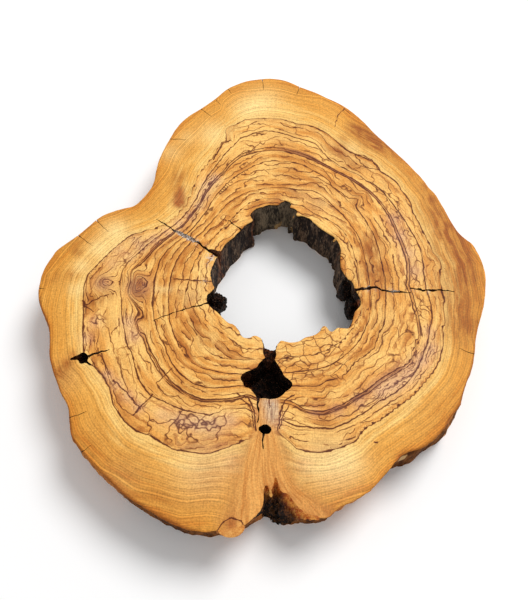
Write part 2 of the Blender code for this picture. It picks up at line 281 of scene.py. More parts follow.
def ringFigure(place, growth, span, spacing, bend, patch, lobes, lobeSize, width, gaps, seed):
    # wavy dark lines along the rings, at random steps, with the tone of each band between them
    shift = calcVector("SCALE", (37.0, 11.0, 53.0), scale=seed)
    place = calcVector("ADD", place, shift)
    wide = centred(noiseAt(place, patch, 0.0))
    narrow = centred(noiseAt(place, times(patch, 0.3)))
    sway = timesPlus(narrow, times(spacing, 0.3), times(wide, bend))
    lobe = minus(cellsAt(place, lobeSize, "F1"), 0.45)
    moved = timesPlus(lobe, lobes, times(sway, 2.0))
    # the lines run along the traced rings where they come near them
    across = times(calc("FRACT", growth), span)
    nearest = times(calc("PINGPONG", growth, 0.5), span)
    moved = times(moved, ramp(nearest, 0.0, 6.0))
    along = over(plus(across, moved), spacing)
    along = plus(along, times(calc("FLOOR", growth), 7.31))
    along = plus(along, times(seed, 17.3))
    away = times(stepsAt(along, "DISTANCE_TO_EDGE", "Distance"), spacing)
    half = times(width, 0.5)
    fade = noiseAt(place, times(patch, 0.7))
    half = times(half, timesPlus(fade, 1.6, 0.2))
    line = falling(away, times(half, 0.3), times(half, 2.6))
    kept = broken(fade, gaps)
    line = times(line, kept)
    band = newNode("SeparateColor")
    plug(band.inputs[0], stepsAt(along, "F1", "Color"))
    # a soft brown edge on the inner side of each line
    side = minus(along, stepsAt(along, "F1", "W"))
    glow = times(falling(away, 0.0, 6.5), ramp(side, -0.05, 0.05))
    return line, band.outputs[0], times(glow, kept)


def tracedRing(place, growth, span, ring, width, wobble, gaps):
    # one dark line along a traced ring, with its own small wobble
    sway = centred(noiseAt(place, 7.0, 2.0, 0.6))
    away = times(minus(growth, ring), span)
    away = timesPlus(sway, times(wobble, 2.0), away)
    fade = noiseAt(place, 13.0)
    half = times(width, timesPlus(fade, 1.0, 0.05))
    line = falling(calc("ABSOLUTE", away), times(half, 0.4), times(half, 2.4))
    return [times(line, broken(fade, gaps))]


def stroke(place, start, end, width):
    # a thin line on the face between two places
    fromStart = calcVector("SUBTRACT", place, start)
    whole = calcVector("SUBTRACT", end, start)
    share = newNode("Clamp")
    plug(share.inputs["Value"], over(calcVector("DOT_PRODUCT", fromStart, whole),
                                     calcVector("DOT_PRODUCT", whole, whole)))
    nearest = calcVector("SCALE", whole, scale=share.outputs[0])
    away = calcVector("LENGTH", calcVector("SUBTRACT", fromStart, nearest))
    return [falling(away, times(width, 0.2), times(width, 1.2))]


def fibre(place, growth, span, ringStep):
    # fine growth rings, thin darker threads between them, and pores
    wobble = centred(noiseAt(place, 40.0, 0.5))
    across = times(calc("FRACT", growth), span)
    along = over(timesPlus(wobble, 7.0, across), ringStep)
    along = plus(along, times(calc("FLOOR", growth), 5.7))
    node = newNode("TexNoise", noise_dimensions="1D")
    fineRings = wire(node, {"W": along, "Scale": 1.0, "Detail": 3.0, "Roughness": 0.6})["Fac"]
    edge = times(stepsAt(along, "DISTANCE_TO_EDGE", "Distance"), ringStep)
    kept = noiseAt(calcVector("ADD", place, (9.0, 70.0, 31.0)), 26.0, 3.0, 0.6)
    kept = ramp(kept, 0.42, 0.66)
    threads = times(falling(edge, 0.05, 0.55), kept)
    # soft streaks some millimetres wide that follow the rings
    streaks = noiseAt(ringWise(fromHeart(place), 7.0, times(along, 0.34)), 1.0, 3.0, 0.6)
    return fineRings, threads, streaks, noiseAt(place, 1.4, 2.0, 0.7)


def crust(place, size, flecks):
    # rotten wood and bark: a tone, raised crumbs and pale flecks
    broad = noiseAt(place, size, 3.0, 0.62)
    fine = noiseAt(place, times(size, 0.22), 2.0, 0.7)
    crumbs = cellsAt(place, times(size, 0.45), "F1")
    tone = timesPlus(fine, 0.4, times(broad, 0.6))
    height = minus(tone, times(crumbs, 0.5))
    spots = noiseAt(calcVector("ADD", place, (41.0, 17.0, 5.0)), times(size, 0.4), 2.0, 0.6)
    return tone, height, ramp(spots, flecks, plus(flecks, 0.08))


def newGroup(inside, places, numbers, results):
    # the function works out the group's results from what the group is given
    tree = bpy.data.node_groups.new(inside.__name__, "ShaderNodeTree")
    for names, way, kind in ((places, "INPUT", "Vector"), (numbers, "INPUT", "Float"),
                             (results, "OUTPUT", "Float")):
        for name in names.split():
            tree.interface.new_socket(name=name, in_out=way, socket_type="NodeSocket" + kind)
    bench["tree"] = tree
    start = tree.nodes.new("NodeGroupInput")
    end = tree.nodes.new("NodeGroupOutput")
    end.location = (2400, 0)
    given = {name: start.outputs[name] for name in places.split() + numbers.split()}
    wire(end, dict(zip(results.split(), inside(**given))))
    return tree


effects = {
    "ringFigure": newGroup(ringFigure, "place", "growth span spacing bend patch lobes lobeSize "
                           "width gaps seed", "line band halo"),
    "tracedRing": newGroup(tracedRing, "place", "growth span ring width wobble gaps", "line"),
    "stroke": newGroup(stroke, "place start end", "width", "line"),
    "fibre": newGroup(fibre, "place", "growth span ringStep", "rings threads streaks pores"),
    "crust": newGroup(crust, "place", "size flecks", "tone height fleck"),
}


def placeGroup(name, **values):
    return wire(newNode("Group", node_tree=effects[name]), values)


def newFinish(name):
    finish = bpy.data.materials.new(name)
    finish.use_nodes = True
    bench["tree"] = finish.node_tree
    return finish, finish.node_tree.nodes["Principled BSDF"]


def placeInMillimetres(stretch=(1.0, 1.0, 1.0)):
    # the drawn place of a point, so that the figure can be laid out with the same ruler
    source = newNode("TexCoord")
    shiftX, shiftY = ruler["shift"]
    return wire(newNode("Mapping"), {
        "Vector": source.outputs["Object"],
        "Location": (-shiftX * stretch[0], -shiftY * stretch[1], 0.0),
        "Scale": [1000 * share for share in stretch]})["Vector"]


def known(name):
    return newNode("Attribute", attribute_name=name).outputs["Fac"]


def coat(shader, look, colour, grain, grainShare, height, depth):
    # the grain makes the gloss uneven, and the height is felt as bumps of that depth
    roughness = timesPlus(grain, grainShare, look["roughness"])
    bump = wire(newNode("Bump"), {"Strength": look["bump"], "Distance": depth,
                                  "Height": height})["Normal"]
    wire(shader, {"Base Color": colour, "Roughness": roughness,
                  "Specular IOR Level": look["specular"], "Normal": bump})


rings = {                          # all in millimetres
    "main": {"spacing": 9.0, "bend": 5.0, "patch": 22.0, "lobeSize": 13.0, "width": 0.75,
             "gaps": 0.4, "seed": 0.0},
    "second": {"spacing": 12.5, "bend": 11.0, "patch": 18.0, "lobeSize": 11.0, "width": 0.65,
               "gaps": 0.47, "seed": 3.0},
    "purple": {"spacing": 3.6, "bend": 3.0, "patch": 9.0, "lobeSize": 6.0, "width": 0.5,
               "gaps": 0.4, "seed": 7.0},
    # ring, width, wobble, gaps
    "traced": ((3, 0.7, 1.2, 0.36), (4, 0.7, 1.2, 0.34), (5, 0.8, 1.2, 0.3),
               (6, 1.0, 1.0, 0.1), (6.16, 0.7, 1.0, 0.3), (7, 0.9, 1.4, 0.16),
               (8, 0.95, 1.0, 0.08)),
    "ringStep": 1.6,               # between two growth rings
    "lobes": (3.4, 5.0),           # everywhere, and more where the cells are
    "cellsRound": 7.0,             # about so many cells for a turn of one radian
    "cellAcross": 9.5,
    "cellShake": 0.84,
    "speckStep": 19.0,             # between two small dark pores
    "shakePatch": 1 / 0.11,
    "strokeSway": 4.0,
    "swayPatch": 1 / 0.22,
    "strokes": (                   # start, end, width
        ((-116, -146), (-110, -138), 1.2), ((-110, -138), (-100, -126.5), 1.0),
        ((-97, -116), (-84, -101.5), 0.7), ((-54, 136), (-45, 157), 1.2),
        ((-45, 157), (-36, 162), 1.0), ((-24, -126), (-14, -130), 1.1),
        ((-14, -130), (-9, -140), 1.1), ((-9, -140), (-7, -159), 1.1),
        ((-20, -131), (-12, -138), 0.9), ((-12, -138), (-9, -157), 0.8),
        ((27, -127), (19, -132), 1.1), ((19, -132), (15, -141), 1.1),
        ((15, -141), (12, -159), 1.1), ((22, -137), (17, -146), 0.8),
        ((17, -146), (14, -158), 0.8), ((5, -131), (5, -139), 0.6),
        ((-38, -242), (-34, -236), 0.9), ((-34, -236), (-27, -233), 0.9),
        ((-27, -233), (-19, -235), 0.9), ((-19, -235), (-15.5, -240), 0.9),
        ((-150, -88), (-146, -98), 1.0), ((-146, -98), (-141, -107), 1.0),
        ((-137, -113), (-124, -124), 0.9), ((-124, -124), (-110, -140), 1.0),
        ((96, -169), (98.5, -169.6), 0.8), ((-174, -33), (-171, -39), 2.0),
        ((-171, -38), (-158, -29), 1.0), ((-158, -29), (-150, -26), 0.8),
        ((-171, -39), (-163, -44), 0.9),
        ((-52, -12), (-88, -9), 1.0), ((82, 196), (90, 206), 0.6), ((82, 196), (78, 180), 0.5),
        ((90, 206), (96, 198), 0.5), ((98, 142), (107, 141), 0.9), ((107, 141), (116, 134), 0.9),
        ((116, 134), (122, 122), 0.9), ((122, 122), (111, 124), 0.8), ((111, 124), (103, 131), 0.8),
        ((103, 131), (98, 142), 0.7),
    ),
}


def heartwood(look, growth, purple, tone, main, second):
    heart = tintRamp(tone, ((0.0, "palePart"), (0.45, "midPart"), (1.0, "deepPart")))
    halo = times(main["halo"], ramp(second["band"], 0.35, 0.8, 0.12, 1.0))
    heart = blendTints(times(halo, look["halo"]), heart, "halo")
    heart = blendTints(times(purple, 0.78), heart, "purplePart")
    inBand = times(ramp(growth, 5.98, 6.03), falling(growth, 6.22, 6.3))
    return blendTints(times(inBand, known("band")), heart, "purpleBand")


def columnTint(reach):
    # the streaked column from the small hole to the notch
    across = known("columnAcross")
    fan = newNode("CombineXYZ")
    wire(fan, {0: times(across, 9.0), 1: times(reach, 0.05)})
    streaks = noiseAt(fan.outputs[0], 1.0, 4.0, 0.7)
    shade = blendTints(ramp(streaks, 0.36, 0.7), "columnPale", "columnDeep")
    sides = ramp(calc("ABSOLUTE", across), 0.7, 0.95)
    shade = blendTints(times(sides, 0.4), shade, "columnEdge")
    cream = times(known("cream"), 0.85)
    return blendTints(cream, shade, blendTints(ramp(streaks, 0.42, 0.62), "cream", "creamDeep"))


def darkLines(place, growth, span, reach, outward, purple, cells, column, plain, figures):
    main, second, fine = (figure["line"] for figure in figures)
    inHeart = falling(growth, 7.99, 8.02)
    fewer = timesPlus(cells, -0.85, 1.0)
    lines = [times(times(main, fewer), 0.9), times(times(second, fewer), 0.8)]
    fine = times(fine, ramp(purple, 0.15, 0.6))
    lines.append(times(fine, timesPlus(cells, -0.7, 0.85)))
    shake = shakeAt(place, rings["shakePatch"], 1.0, rings["cellShake"])
    cellPlace = ringWise(outward, rings["cellsRound"], over(reach, rings["cellAcross"]))
    edges = cellsAt(calcVector("ADD", cellPlace, shake), 1.0, "DISTANCE_TO_EDGE")
    cellLine = times(falling(edges, 0.0, 0.075), ramp(cells, 0.2, 0.6))
    lines.append(times(cellLine, 0.88))
    mark = times(strongest(*lines), inHeart)
    mark = times(mark, falling(plain, 0.35, 0.65))
    mark = strongest(mark, strongest(*(
        placeGroup("tracedRing", place=place, growth=growth, span=span, ring=ring, width=width,
                   wobble=wobble, gaps=gaps)["line"]
        for ring, width, wobble, gaps in rings["traced"])))
    mark = times(mark, timesPlus(column, -0.85, 1.0))
    specks = ramp(cellsAt(place, rings["speckStep"], "F1"), 0.015, 0.035, 0.75, 0.0)
    mark = strongest(mark, specks)
    sway = shakeAt(place, rings["swayPatch"], 2.0, rings["strokeSway"])
    swayed = calcVector("MULTIPLY", calcVector("ADD", place, sway), (1.0, 1.0, 0.0))
    drawn = 0.0
    for start, end, width in rings["strokes"]:
        line = placeGroup("stroke", place=swayed, start=(*start, 0.0), end=(*end, 0.0),
                          width=width)["line"]
        drawn = strongest(drawn, line)
    return strongest(mark, drawn)


def sawnWood(name, look):
    finish, shader = newFinish(name)
    place = placeInMillimetres()
    growth, span, reach, purple, brown, pale, cells, column, plain = (
        known(word) for word in ("growth", "span", "reach", "purple", "brown", "pale", "cells",
                                 "column", "plain"))
    lobes = timesPlus(cells, rings["lobes"][1], rings["lobes"][0])
    figures = [placeGroup("ringFigure", place=place, growth=growth, span=span, lobes=lobes,
                          **rings[word]) for word in ("main", "second", "purple")]
    grain = placeGroup("fibre", place=place, growth=growth, span=span,
                       ringStep=rings["ringStep"])
    # long patches that follow the rings
    outward = fromHeart(place)
    patches = noiseAt(ringWise(outward, 3.8, times(reach, 0.14)), 1.0, 2.0)
    tone = timesPlus(figures[0]["band"], 0.32, times(figures[1]["band"], 0.28))
    tone = varied(tone, patches, 2.2)
    tone = varied(tone, grain["streaks"], 0.5)
    tone = times(tone, timesPlus(strongest(plain, times(cells, 0.6)), -0.6, 1.0))
    heart = heartwood(look, growth, purple, tone, figures[0], figures[1])
    # sapwood, paler towards the heart and darker towards the rim
    sway = varied(times(centred(patches), 0.7), grain["streaks"], 0.9)
    sap = tintRamp(plus(minus(growth, 8.0), sway), (
        (0.0, "sapNear"), (0.4, "sapMid"), (0.85, "sapFar"), (1.0, "sapRim")))
    inSap = ramp(growth, 7.98, 8.02)
    wood = blendTints(inSap, heart, sap)
    wood = blendTints(times(pale, 0.8), wood, "paleBand")
    wood = blendTints(times(times(purple, inSap), 0.5), wood, "purplePart")
    streaked = ramp(grain["streaks"], 0.36, 0.6, 0.45, 1.0)
    wood = blendTints(times(brown, streaked), wood, "brownPart")
    threads = times(grain["threads"], timesPlus(inSap, -0.02, 0.24))
    wood = blendTints(threads, wood, "thread")
    wood = blendTints(column, wood, columnTint(reach))
    edge = times(ramp(growth, 8.93, 8.985), known("edge"))
    wood = blendTints(edge, wood, "edge")
    wood = blendTints(times(known("rust"), 0.9), wood, "rust")
    depth = timesPlus(inSap, look["ringDepth"], look["ringDepth"])
    shade = varied(1.0, grain["rings"], times(depth, minus(1.0, column)))
    shade = varied(shade, grain["pores"], look["poreDepth"])
    sawMarks = noiseAt(calcVector("MULTIPLY", place, (1.1, 0.03, 0.0)), 1.0)
    shade = varied(shade, sawMarks, look["sawMarks"])
    grey = wire(newNode("CombineColor"), {0: shade, 1: shade, 2: shade})[0]
    wood = blendTints(1.0, wood, grey, "MULTIPLY")
    mark = darkLines(place, growth, span, reach, outward, purple, cells, column, plain, figures)
    burnt = times(ramp(mark, 0.0, 0.5), look["burnt"])
    wood = blendTints(burnt, wood, blendTints(purple, "burnt", "purpleBurnt"))
    lineTint = blendTints(purple, "line", "purpleLine")
    wood = blendTints(times(ramp(mark, 0.4, 1.0), look["lineDepth"]), wood, lineTint)
    flecks = times(known("fleck"), ramp(noiseAt(place, 2.2, 2.0, 0.6), 0.5, 0.58))
    wood = blendTints(flecks, wood, "fleckWhite")
    wood = blendTints(look["dust"], wood, "dustWhite")
    coat(shader, look, wood, grain["pores"], 0.25, grain["pores"], 0.0004)
    return finish


def crustFinish(name, look):
    finish, shader = newFinish(name)
    place = placeInMillimetres(look["stretch"])
    made = placeGroup("crust", place=place, size=look["size"], flecks=look["flecks"])
    tone, fleck = made["tone"], made["fleck"]
    colour = tintRamp(tone, list(zip((0.34, 0.5, 0.66), look["tints"])))
    colour = blendTints(times(known("rust"), ramp(tone, 0.42, 0.56)), colour, "rustCrust")
    below = known("below")
    if "patchTint" in look:
        colour = blendTints(known("patch"), colour, blendTints(
            ramp(tone, 0.4, 0.62), look["patchTint"], look["patchPale"]))
    colour = blendTints(times(fleck, look["fleckShare"]), colour, look["fleckTint"])
    if "barkTint" in look:
        # bark is left in patches with ragged edges
        blotches = noiseAt(calcVector("MULTIPLY", place, (1.0, 1.0, 4.5)), 11.0, 3.0, 0.6)
        bark = varied(varied(known("bark"), tone, 0.9), blotches, 1.5)
        scales = ramp(timesPlus(blotches, 0.5, times(tone, 0.5)), 0.4, 0.62)
        scales = blendTints(scales, look["barkTint"], look["barkPale"])
        colour = blendTints(ramp(bark, 0.42, 0.5), colour, blendTints(
            times(fleck, 0.6), scales, "darkGapAndShade"))
    if "chipTint" in look:
        level = look["chipLevel"]
        chip = times(known("chip"), ramp(below, level, level + 3.0))
        chip = times(chip, falling(below, level + 14.0, level + 20.0))
        chip = varied(chip, tone, 2.6)
        colour = blendTints(ramp(chip, 0.5, 0.75), colour, look["chipTint"])
    # painted shade: a wall darkens to near black within 4 mm under the sawn face, where the rim
    # shades it; the look's underRim sets how dark
    colour = blendTints(ramp(below, 0.3, 4.0, look["underRim"], 0.0), colour, "darkGapAndShade")
    coat(shader, look, colour, tone, 0.3, made["height"], 0.001)
    return finish


looks = {
    "sawnFace": {"ringDepth": 0.6, "poreDepth": 1.1, "lineDepth": 0.95, "burnt": 0.6,
                 "halo": 0.75, "dust": 0.0, "sawMarks": 0.3,
                 "roughness": 0.45, "specular": 0.14, "bump": 0.25},
    "underside": {"ringDepth": 0.25, "poreDepth": 0.5, "lineDepth": 0.7, "burnt": 0.5,
                  "halo": 0.4, "dust": 0.22, "sawMarks": 0.4,
                  "roughness": 0.6, "specular": 0.2, "bump": 0.5},
    # the chips begin at a level in millimetres under the face, and underRim is how strongly a wall
    # is darkened with painted shade just under the sawn face
    "outerWall": {"stretch": (1.0, 1.0, 0.1), "size": 7.0, "flecks": 0.62, "fleckShare": 0.5,
                  "tints": (tint(122, 70, 34), tint(178, 110, 54), tint(214, 150, 82)),
                  "fleckTint": tint(84, 50, 30),
                  "barkTint": tint(70, 36, 12), "barkPale": tint(136, 82, 34),
                  "patchTint": tint(96, 52, 18), "patchPale": tint(150, 92, 40),
                  "chipTint": tint(196, 158, 108), "chipLevel": 2.0, "underRim": 0.0,
                  "roughness": 0.75, "specular": 0.06, "bump": 0.7},
    "hollowWall": {"stretch": (1.0, 1.0, 0.22), "size": 6.5, "flecks": 0.6, "fleckShare": 0.5,
                   "tints": (tint(5, 3, 2), tint(44, 31, 25), tint(142, 114, 90)),
                   "fleckTint": tint(160, 138, 112),
                   "patchTint": tint(38, 30, 23), "patchPale": tint(142, 124, 100),
                   "chipTint": tint(186, 148, 98), "chipLevel": 34.0, "underRim": 0.92,
                   "roughness": 0.65, "specular": 0.14, "bump": 1.0},
    "rottenBark": {"stretch": (1.0, 1.0, 0.8), "size": 4.0, "flecks": 0.63, "fleckShare": 0.7,
                   "tints": (tint(3, 2, 1), tint(16, 9, 6), tint(74, 44, 30)),
                   "fleckTint": tint(160, 112, 78), "underRim": 0.5,
                   "roughness": 0.5, "specular": 0.12, "bump": 1.0},
    "crackWall": {"stretch": (1.0, 1.0, 0.5), "size": 3.0, "flecks": 0.6, "fleckShare": 0.6,
                  "tints": (tint(52, 30, 18), tint(92, 56, 34), tint(140, 98, 64)),
                  "fleckTint": tint(158, 146, 134), "underRim": 0.0,
                  "roughness": 0.7, "specular": 0.2, "bump": 0.6},
    "crackFibre": {"stretch": (1.0, 1.0, 0.5), "size": 2.6, "flecks": 0.47, "fleckShare": 0.95,
                   "tints": (tint(44, 28, 22), tint(112, 80, 60), tint(190, 160, 136)),
                   "fleckTint": tint(228, 216, 204), "underRim": 0.0,
                   "roughness": 0.75, "specular": 0.15, "bump": 0.5},
    "notchWood": {"stretch": (1.0, 1.0, 0.4), "size": 5.0, "flecks": 0.62, "fleckShare": 0.5,
                  "tints": (tint(2, 1, 1), tint(18, 10, 6), tint(104, 66, 34)),
                  "fleckTint": tint(176, 116, 60),
                  "patchTint": tint(198, 88, 24), "patchPale": tint(255, 174, 78),
                  "chipTint": tint(255, 188, 100), "chipLevel": -6.0, "underRim": 0.0,
                  "roughness": 0.5, "specular": 0.1, "bump": 0.8},
    # the slice ends above the knot's level, so that no chip is drawn on it
    "knotWood": {"stretch": (1.0, 1.0, 0.4), "size": 5.0, "flecks": 0.6, "fleckShare": 0.4,
                 "tints": (tint(164, 92, 36), tint(208, 132, 58), tint(232, 168, 84)),
                 "fleckTint": tint(166, 96, 40),
                 "patchTint": tint(214, 152, 76), "patchPale": tint(240, 190, 112),
                 "chipTint": tint(240, 190, 112), "chipLevel": 90.0, "underRim": 0.0,
                 "roughness": 0.5, "specular": 0.2, "bump": 0.5},
}

finishes = {name: (sawnWood if "ringDepth" in look else crustFinish)(name, look)
            for name, look in looks.items()}


def only(piece):
    bpy.ops.object.select_all(action="DESELECT")
    piece.select_set(True)
    bpy.context.view_layer.objects.active = piece


print("slice")
outline = {
    "rim": [                       # anticlockwise from the far end
        (5, 251), (-8, 249.5), (-20, 247), (-31, 242), (-42, 235), (-52, 224), (-62, 214),
        (-72, 205), (-82, 197), (-91, 187), (-98, 175), (-103, 163), (-108, 150),
        (-112, 137), (-114.5, 122), (-116, 106), (-120, 95), (-127, 84.5), (-134, 76.5),
        (-144, 73.5), (-154, 70), (-166, 64), (-172, 58.5), (-180, 49.5), (-189, 40),
        (-200, 30), (-207, 23), (-211, 15), (-216, 3), (-218.5, -15), (-217.5, -28),
        (-213, -41), (-208, -50), (-203, -60), (-200.5, -72), (-198.5, -88), (-194, -102),
        (-188, -115), (-182, -127), (-175, -138), (-172, -151), (-169, -163), (-164, -171),
        (-157, -179), (-146, -190), (-132, -202), (-118, -214), (-100, -225),
        (-83, -234.5), (-68, -241), (-52, -244), (-36, -243), (-24, -241.5), (-15, -238.5),
        (-9, -233.5), (-3, -228.5), (2, -226.5), (7, -229.5), (12, -232), (22, -231.5),
        (34, -231.5), (46, -233.5), (54, -232.5), (59, -228), (64, -224.5), (73, -220),
        (83, -215), (93, -208), (101, -200), (108, -193), (113.5, -186.5), (119, -181),
        (127, -177.5), (138, -174.5), (146, -169.5), (154, -162.5), (160, -156),
        (165, -148), (172, -140), (176, -134), (180, -124), (186, -111), (191, -100),
        (195, -87), (198, -73), (203, -58), (208, -45), (212, -33), (215, -19), (217, -4),
        (216, 9), (212.5, 22), (208.5, 31), (203, 36.5), (197, 44), (192, 54.5), (188, 66),
        (183, 80), (178, 92), (173, 99), (168, 109), (160, 121), (151, 134), (141, 146.5),
        (131, 159), (121, 171.5), (111, 186), (101.5, 198), (91, 208.5), (81, 216),
        (70, 222.5), (60, 229), (50, 234), (40, 239), (32, 244), (22, 248.5), (12, 250.5),
    ],
    "hollow": [                    # clockwise from its far end
        (0.6, 75.6), (6.5, 77.4), (14.7, 78), (18, 81), (24, 82), (28, 79), (26.8, 74),
        (31, 72.4), (33.8, 69.5), (33.2, 64.6), (39.4, 64.2), (44.7, 61.5), (51, 55.6),
        (59.4, 47.4), (66.5, 42), (71.8, 38), (74.4, 32), (76.3, 22), (76, 13), (75.6, 6),
        (77.4, -1), (80.6, -8), (85.6, -11.5), (87.8, -19), (90.6, -25), (93, -32),
        (91.8, -38), (87.6, -43), (84, -53), (80, -61), (75, -61.5), (69.5, -61),
        (63, -64.6), (57, -59), (51.8, -65), (45.3, -69), (38.2, -71), (32.4, -74.4),
        (25.3, -75.6), (19.5, -74.5), (16, -74), (12, -77.5), (6, -79), (0.5, -76),
        (-3, -71.5), (-8.8, -69), (-13.5, -71), (-19.4, -70.5), (-23.5, -63.8),
        (-28.8, -57.4), (-33.5, -55.8), (-39.4, -50.3), (-44.7, -44.5), (-49, -41),
        (-54, -35), (-55.3, -29.5), (-52, -23.5), (-48.5, -20), (-50.6, -13),
        (-52.4, -3), (-50.6, 4), (-47.6, 12.6), (-43, 22), (-39.5, 29), (-36.5, 33.2),
        (-28.8, 40.3), (-23, 48), (-17, 54.5), (-11.8, 58.5), (-13.8, 63.8),
        (-10.4, 71), (-4.7, 73.6),
    ],
    "steps": 4,                    # points between two drawn ones
    "cell": 4.0,                   # the sawn faces are cut into squares of this size
    "reach": (-224.0, -256.0, 224.0, 260.0),
    "edgeRound": 0.8,
    "edgeSteps": (0.3, 0.5, 1.2),
    "wallStep": 2.0,
}


def drawnLoops(name, loops, steps, level, closed=True):
    curve = bpy.data.curves.new(name, "CURVE")
    curve.dimensions = "3D"
    for points in loops:
        spline = curve.splines.new("BEZIER")
        spline.bezier_points.add(len(points) - 1)
        spline.resolution_u = steps
        spline.use_cyclic_u = closed
        for place, (x, y) in zip(spline.bezier_points, points):
            place.co = (x, y, level)
            place.handle_left_type = "AUTO"
            place.handle_right_type = "AUTO"
    piece = bpy.data.objects.new(name, curve)
    bpy.context.scene.collection.objects.link(piece)
    only(piece)
    bpy.ops.object.convert(target="MESH")
    return bpy.context.object


def inEdit(piece):
    only(piece)
    bpy.ops.object.mode_set(mode="EDIT")
    bpy.ops.mesh.select_all(action="SELECT")


def leaveEdit(piece):
    bpy.ops.object.mode_set(mode="OBJECT")
    return piece


def pushDown(depth, share=1.0, middle=(0, 0)):
    bpy.ops.mesh.extrude_region_move(TRANSFORM_OT_translate={"value": (0, 0, -depth)})
    if share != 1.0:
        bpy.ops.transform.resize(value=(share, share, 1), center_override=(*middle, 0))


def faceOutwards():
    bpy.ops.mesh.select_all(action="SELECT")
    bpy.ops.mesh.normals_make_consistent(inside=False)


def sawnBlock():
    block = drawnLoops("oliveSlice", [outline["rim"], outline["hollow"]], outline["steps"],
                       ruler["thickness"])
    inEdit(block)
    bpy.ops.mesh.remove_doubles(threshold=ruler["weld"])
    bpy.ops.mesh.fill(use_beauty=False)
    bpy.ops.mesh.dissolve_limited(angle_limit=radians(0.05))
    low, high = outline["reach"][:2], outline["reach"][2:]
    for axis in (0, 1):
        place = low[axis]
        while place < high[axis]:
            cut = [0.0, 0.0, 0.0]
            across = [0.0, 0.0, 0.0]
            cut[axis], across[axis] = place, 1.0
            bpy.ops.mesh.select_all(action="SELECT")
            bpy.ops.mesh.bisect(plane_co=cut, plane_no=across)
            place += outline["cell"]
    bpy.ops.mesh.select_all(action="SELECT")
    ends = list(outline["edgeSteps"])
    walls = ruler["thickness"] - 2 * sum(ends)
    count = round(walls / outline["wallStep"])
    for depth in ends + [walls / count] * count + ends[::-1]:
        pushDown(depth)
    faceOutwards()
    return leaveEdit(block)


relief = {
    "outerSwells": [               # place, reach, how far out half way down, and at the foot
        ((165, -150), 14, 5.0, 5.5), ((128, -180), 12, 2.0, 2.5), ((147, -171), 9, -1.0, -2.0),
        ((104, -197), 16, -1.5, -3.5), ((80, -216), 24, -2.0, -4.5), ((50, -232), 12, -1.5, -3.0),
        ((-18, -239), 16, -2.5, -4.5), ((-58, -243), 24, -1.0, -2.0), ((-127, 88), 26, 1.5, 3.0),
        ((-212, -30), 34, 1.5, -1.0), ((-188, -115), 26, -1.5, -2.5), ((-140, -196), 30, 1.5, 1.0),
        ((-75, 205), 34, 1.0, 2.5), ((10, 250), 40, -1.0, -1.0), ((120, 172), 40, 1.5, -2.0),
        ((186, 74), 26, -2.0, -3.0), ((214, 0), 26, -1.0, -1.5), ((196, -90), 24, 2.0, 1.0),
    ],
    "hollowSwells": [              # a plus narrows the hollow
        ((72, 34), 6, 3.0, 2.0), ((76, 14), 8, 2.5, 3.0), ((14, 76), 12, 1.5, -1.5),
        ((-6, 66), 6, 2.0, 1.0), ((30, 68), 5, 3.0, 2.0), ((-40, 25), 14, 1.0, 2.5),
        ((60, -60), 14, -2.0, -4.0), ((-30, -60), 16, -1.5, -4.0), ((24, -76), 10, -2.0, -4.0),
    ],
    "ragged": [((80, -10), 30), ((72, 30), 16), ((28, 74), 10), ((-8, 66), 8)],
    "calm": 0.35,                  # how rough the rest of the hollow is
    "hollowReach": 112.0,
    "outerRough": 1.4,
    "hollowRough": 3.8,
    "patch": 9.0,
    "stretch": 3.0,
    "fineShare": 0.5,
    "fineScale": 2.3,
    "smoothUnderRim": 4.0,
    "ridges": {                    # width, length, height
        "bark": (2.6, 9.0, 1.1), "flutes": (4.0, 60.0, 0.9), "fibres": (1.6, 14.0, 0.35),
    },
    "crumb": 1.7,
    "crumbHeight": 0.8,
    "drawnBy": 6,                  # so many points of the edge draw a point of the face along
    "drawnReach": 24.0,
}


def inHollow(x, y):
    heartX, heartY = ruler["heart"]
    return hypot(x - heartX, y - heartY) < relief["hollowReach"]


def swellAt(swells, x, y, z):
    depth = 1 - z / ruler["thickness"]
    total = 0.0
    for (placeX, placeY), reach, middle, foot in swells:
        near = exp(-(hypot(x - placeX, y - placeY) / reach) ** 2)
        total += near * (4 * depth * (1 - depth) * middle + depth * (2 * depth - 1) * foot)
    return total


def raggedAt(x, y):
    near = [exp(-(hypot(x - placeX, y - placeY) / reach) ** 2)
            for (placeX, placeY), reach in relief["ragged"]]
    return relief["calm"] + (1 - relief["calm"]) * max(near)


def ridgesAt(name, x, y, z):
    width, length, height = relief["ridges"][name]
    return noise.noise(Vector((x / width, y / width, z / length))) * height


def wallPush(x, y, z):
    hollow = inHollow(x, y)
    swells = relief["hollowSwells"] if hollow else relief["outerSwells"]
    rough = relief["hollowRough"] if hollow else relief["outerRough"]
    patch = Vector((x, y, z / relief["stretch"])) / relief["patch"]
    lumps = noise.noise(patch) + relief["fineShare"] * noise.noise(patch * relief["fineScale"])
    underRim = ruler["thickness"] - z
    rag = raggedAt(x, y) if hollow else 1.0
    near = min(1, underRim / relief["smoothUnderRim"])
    push = swellAt(swells, x, y, z) + lumps * rough * rag * near
    if hollow:
        crumbs = noise.noise(Vector((x, y, z)) / relief["crumb"]) * relief["crumbHeight"]
        push += (ridgesAt("bark", x, y, z) + crumbs) * rag * min(1, 0.25 + underRim / 6)
    else:
        ridges = ridgesAt("flutes", x, y, z) + ridgesAt("fibres", x, y, z)
        push += ridges * min(1, underRim / 5)
    edge = min(z, underRim)
    roundDepth = sum(outline["edgeSteps"][:2])
    if edge < roundDepth:
        push -= outline["edgeRound"] * (1 - edge / roundDepth) ** 2
    return push


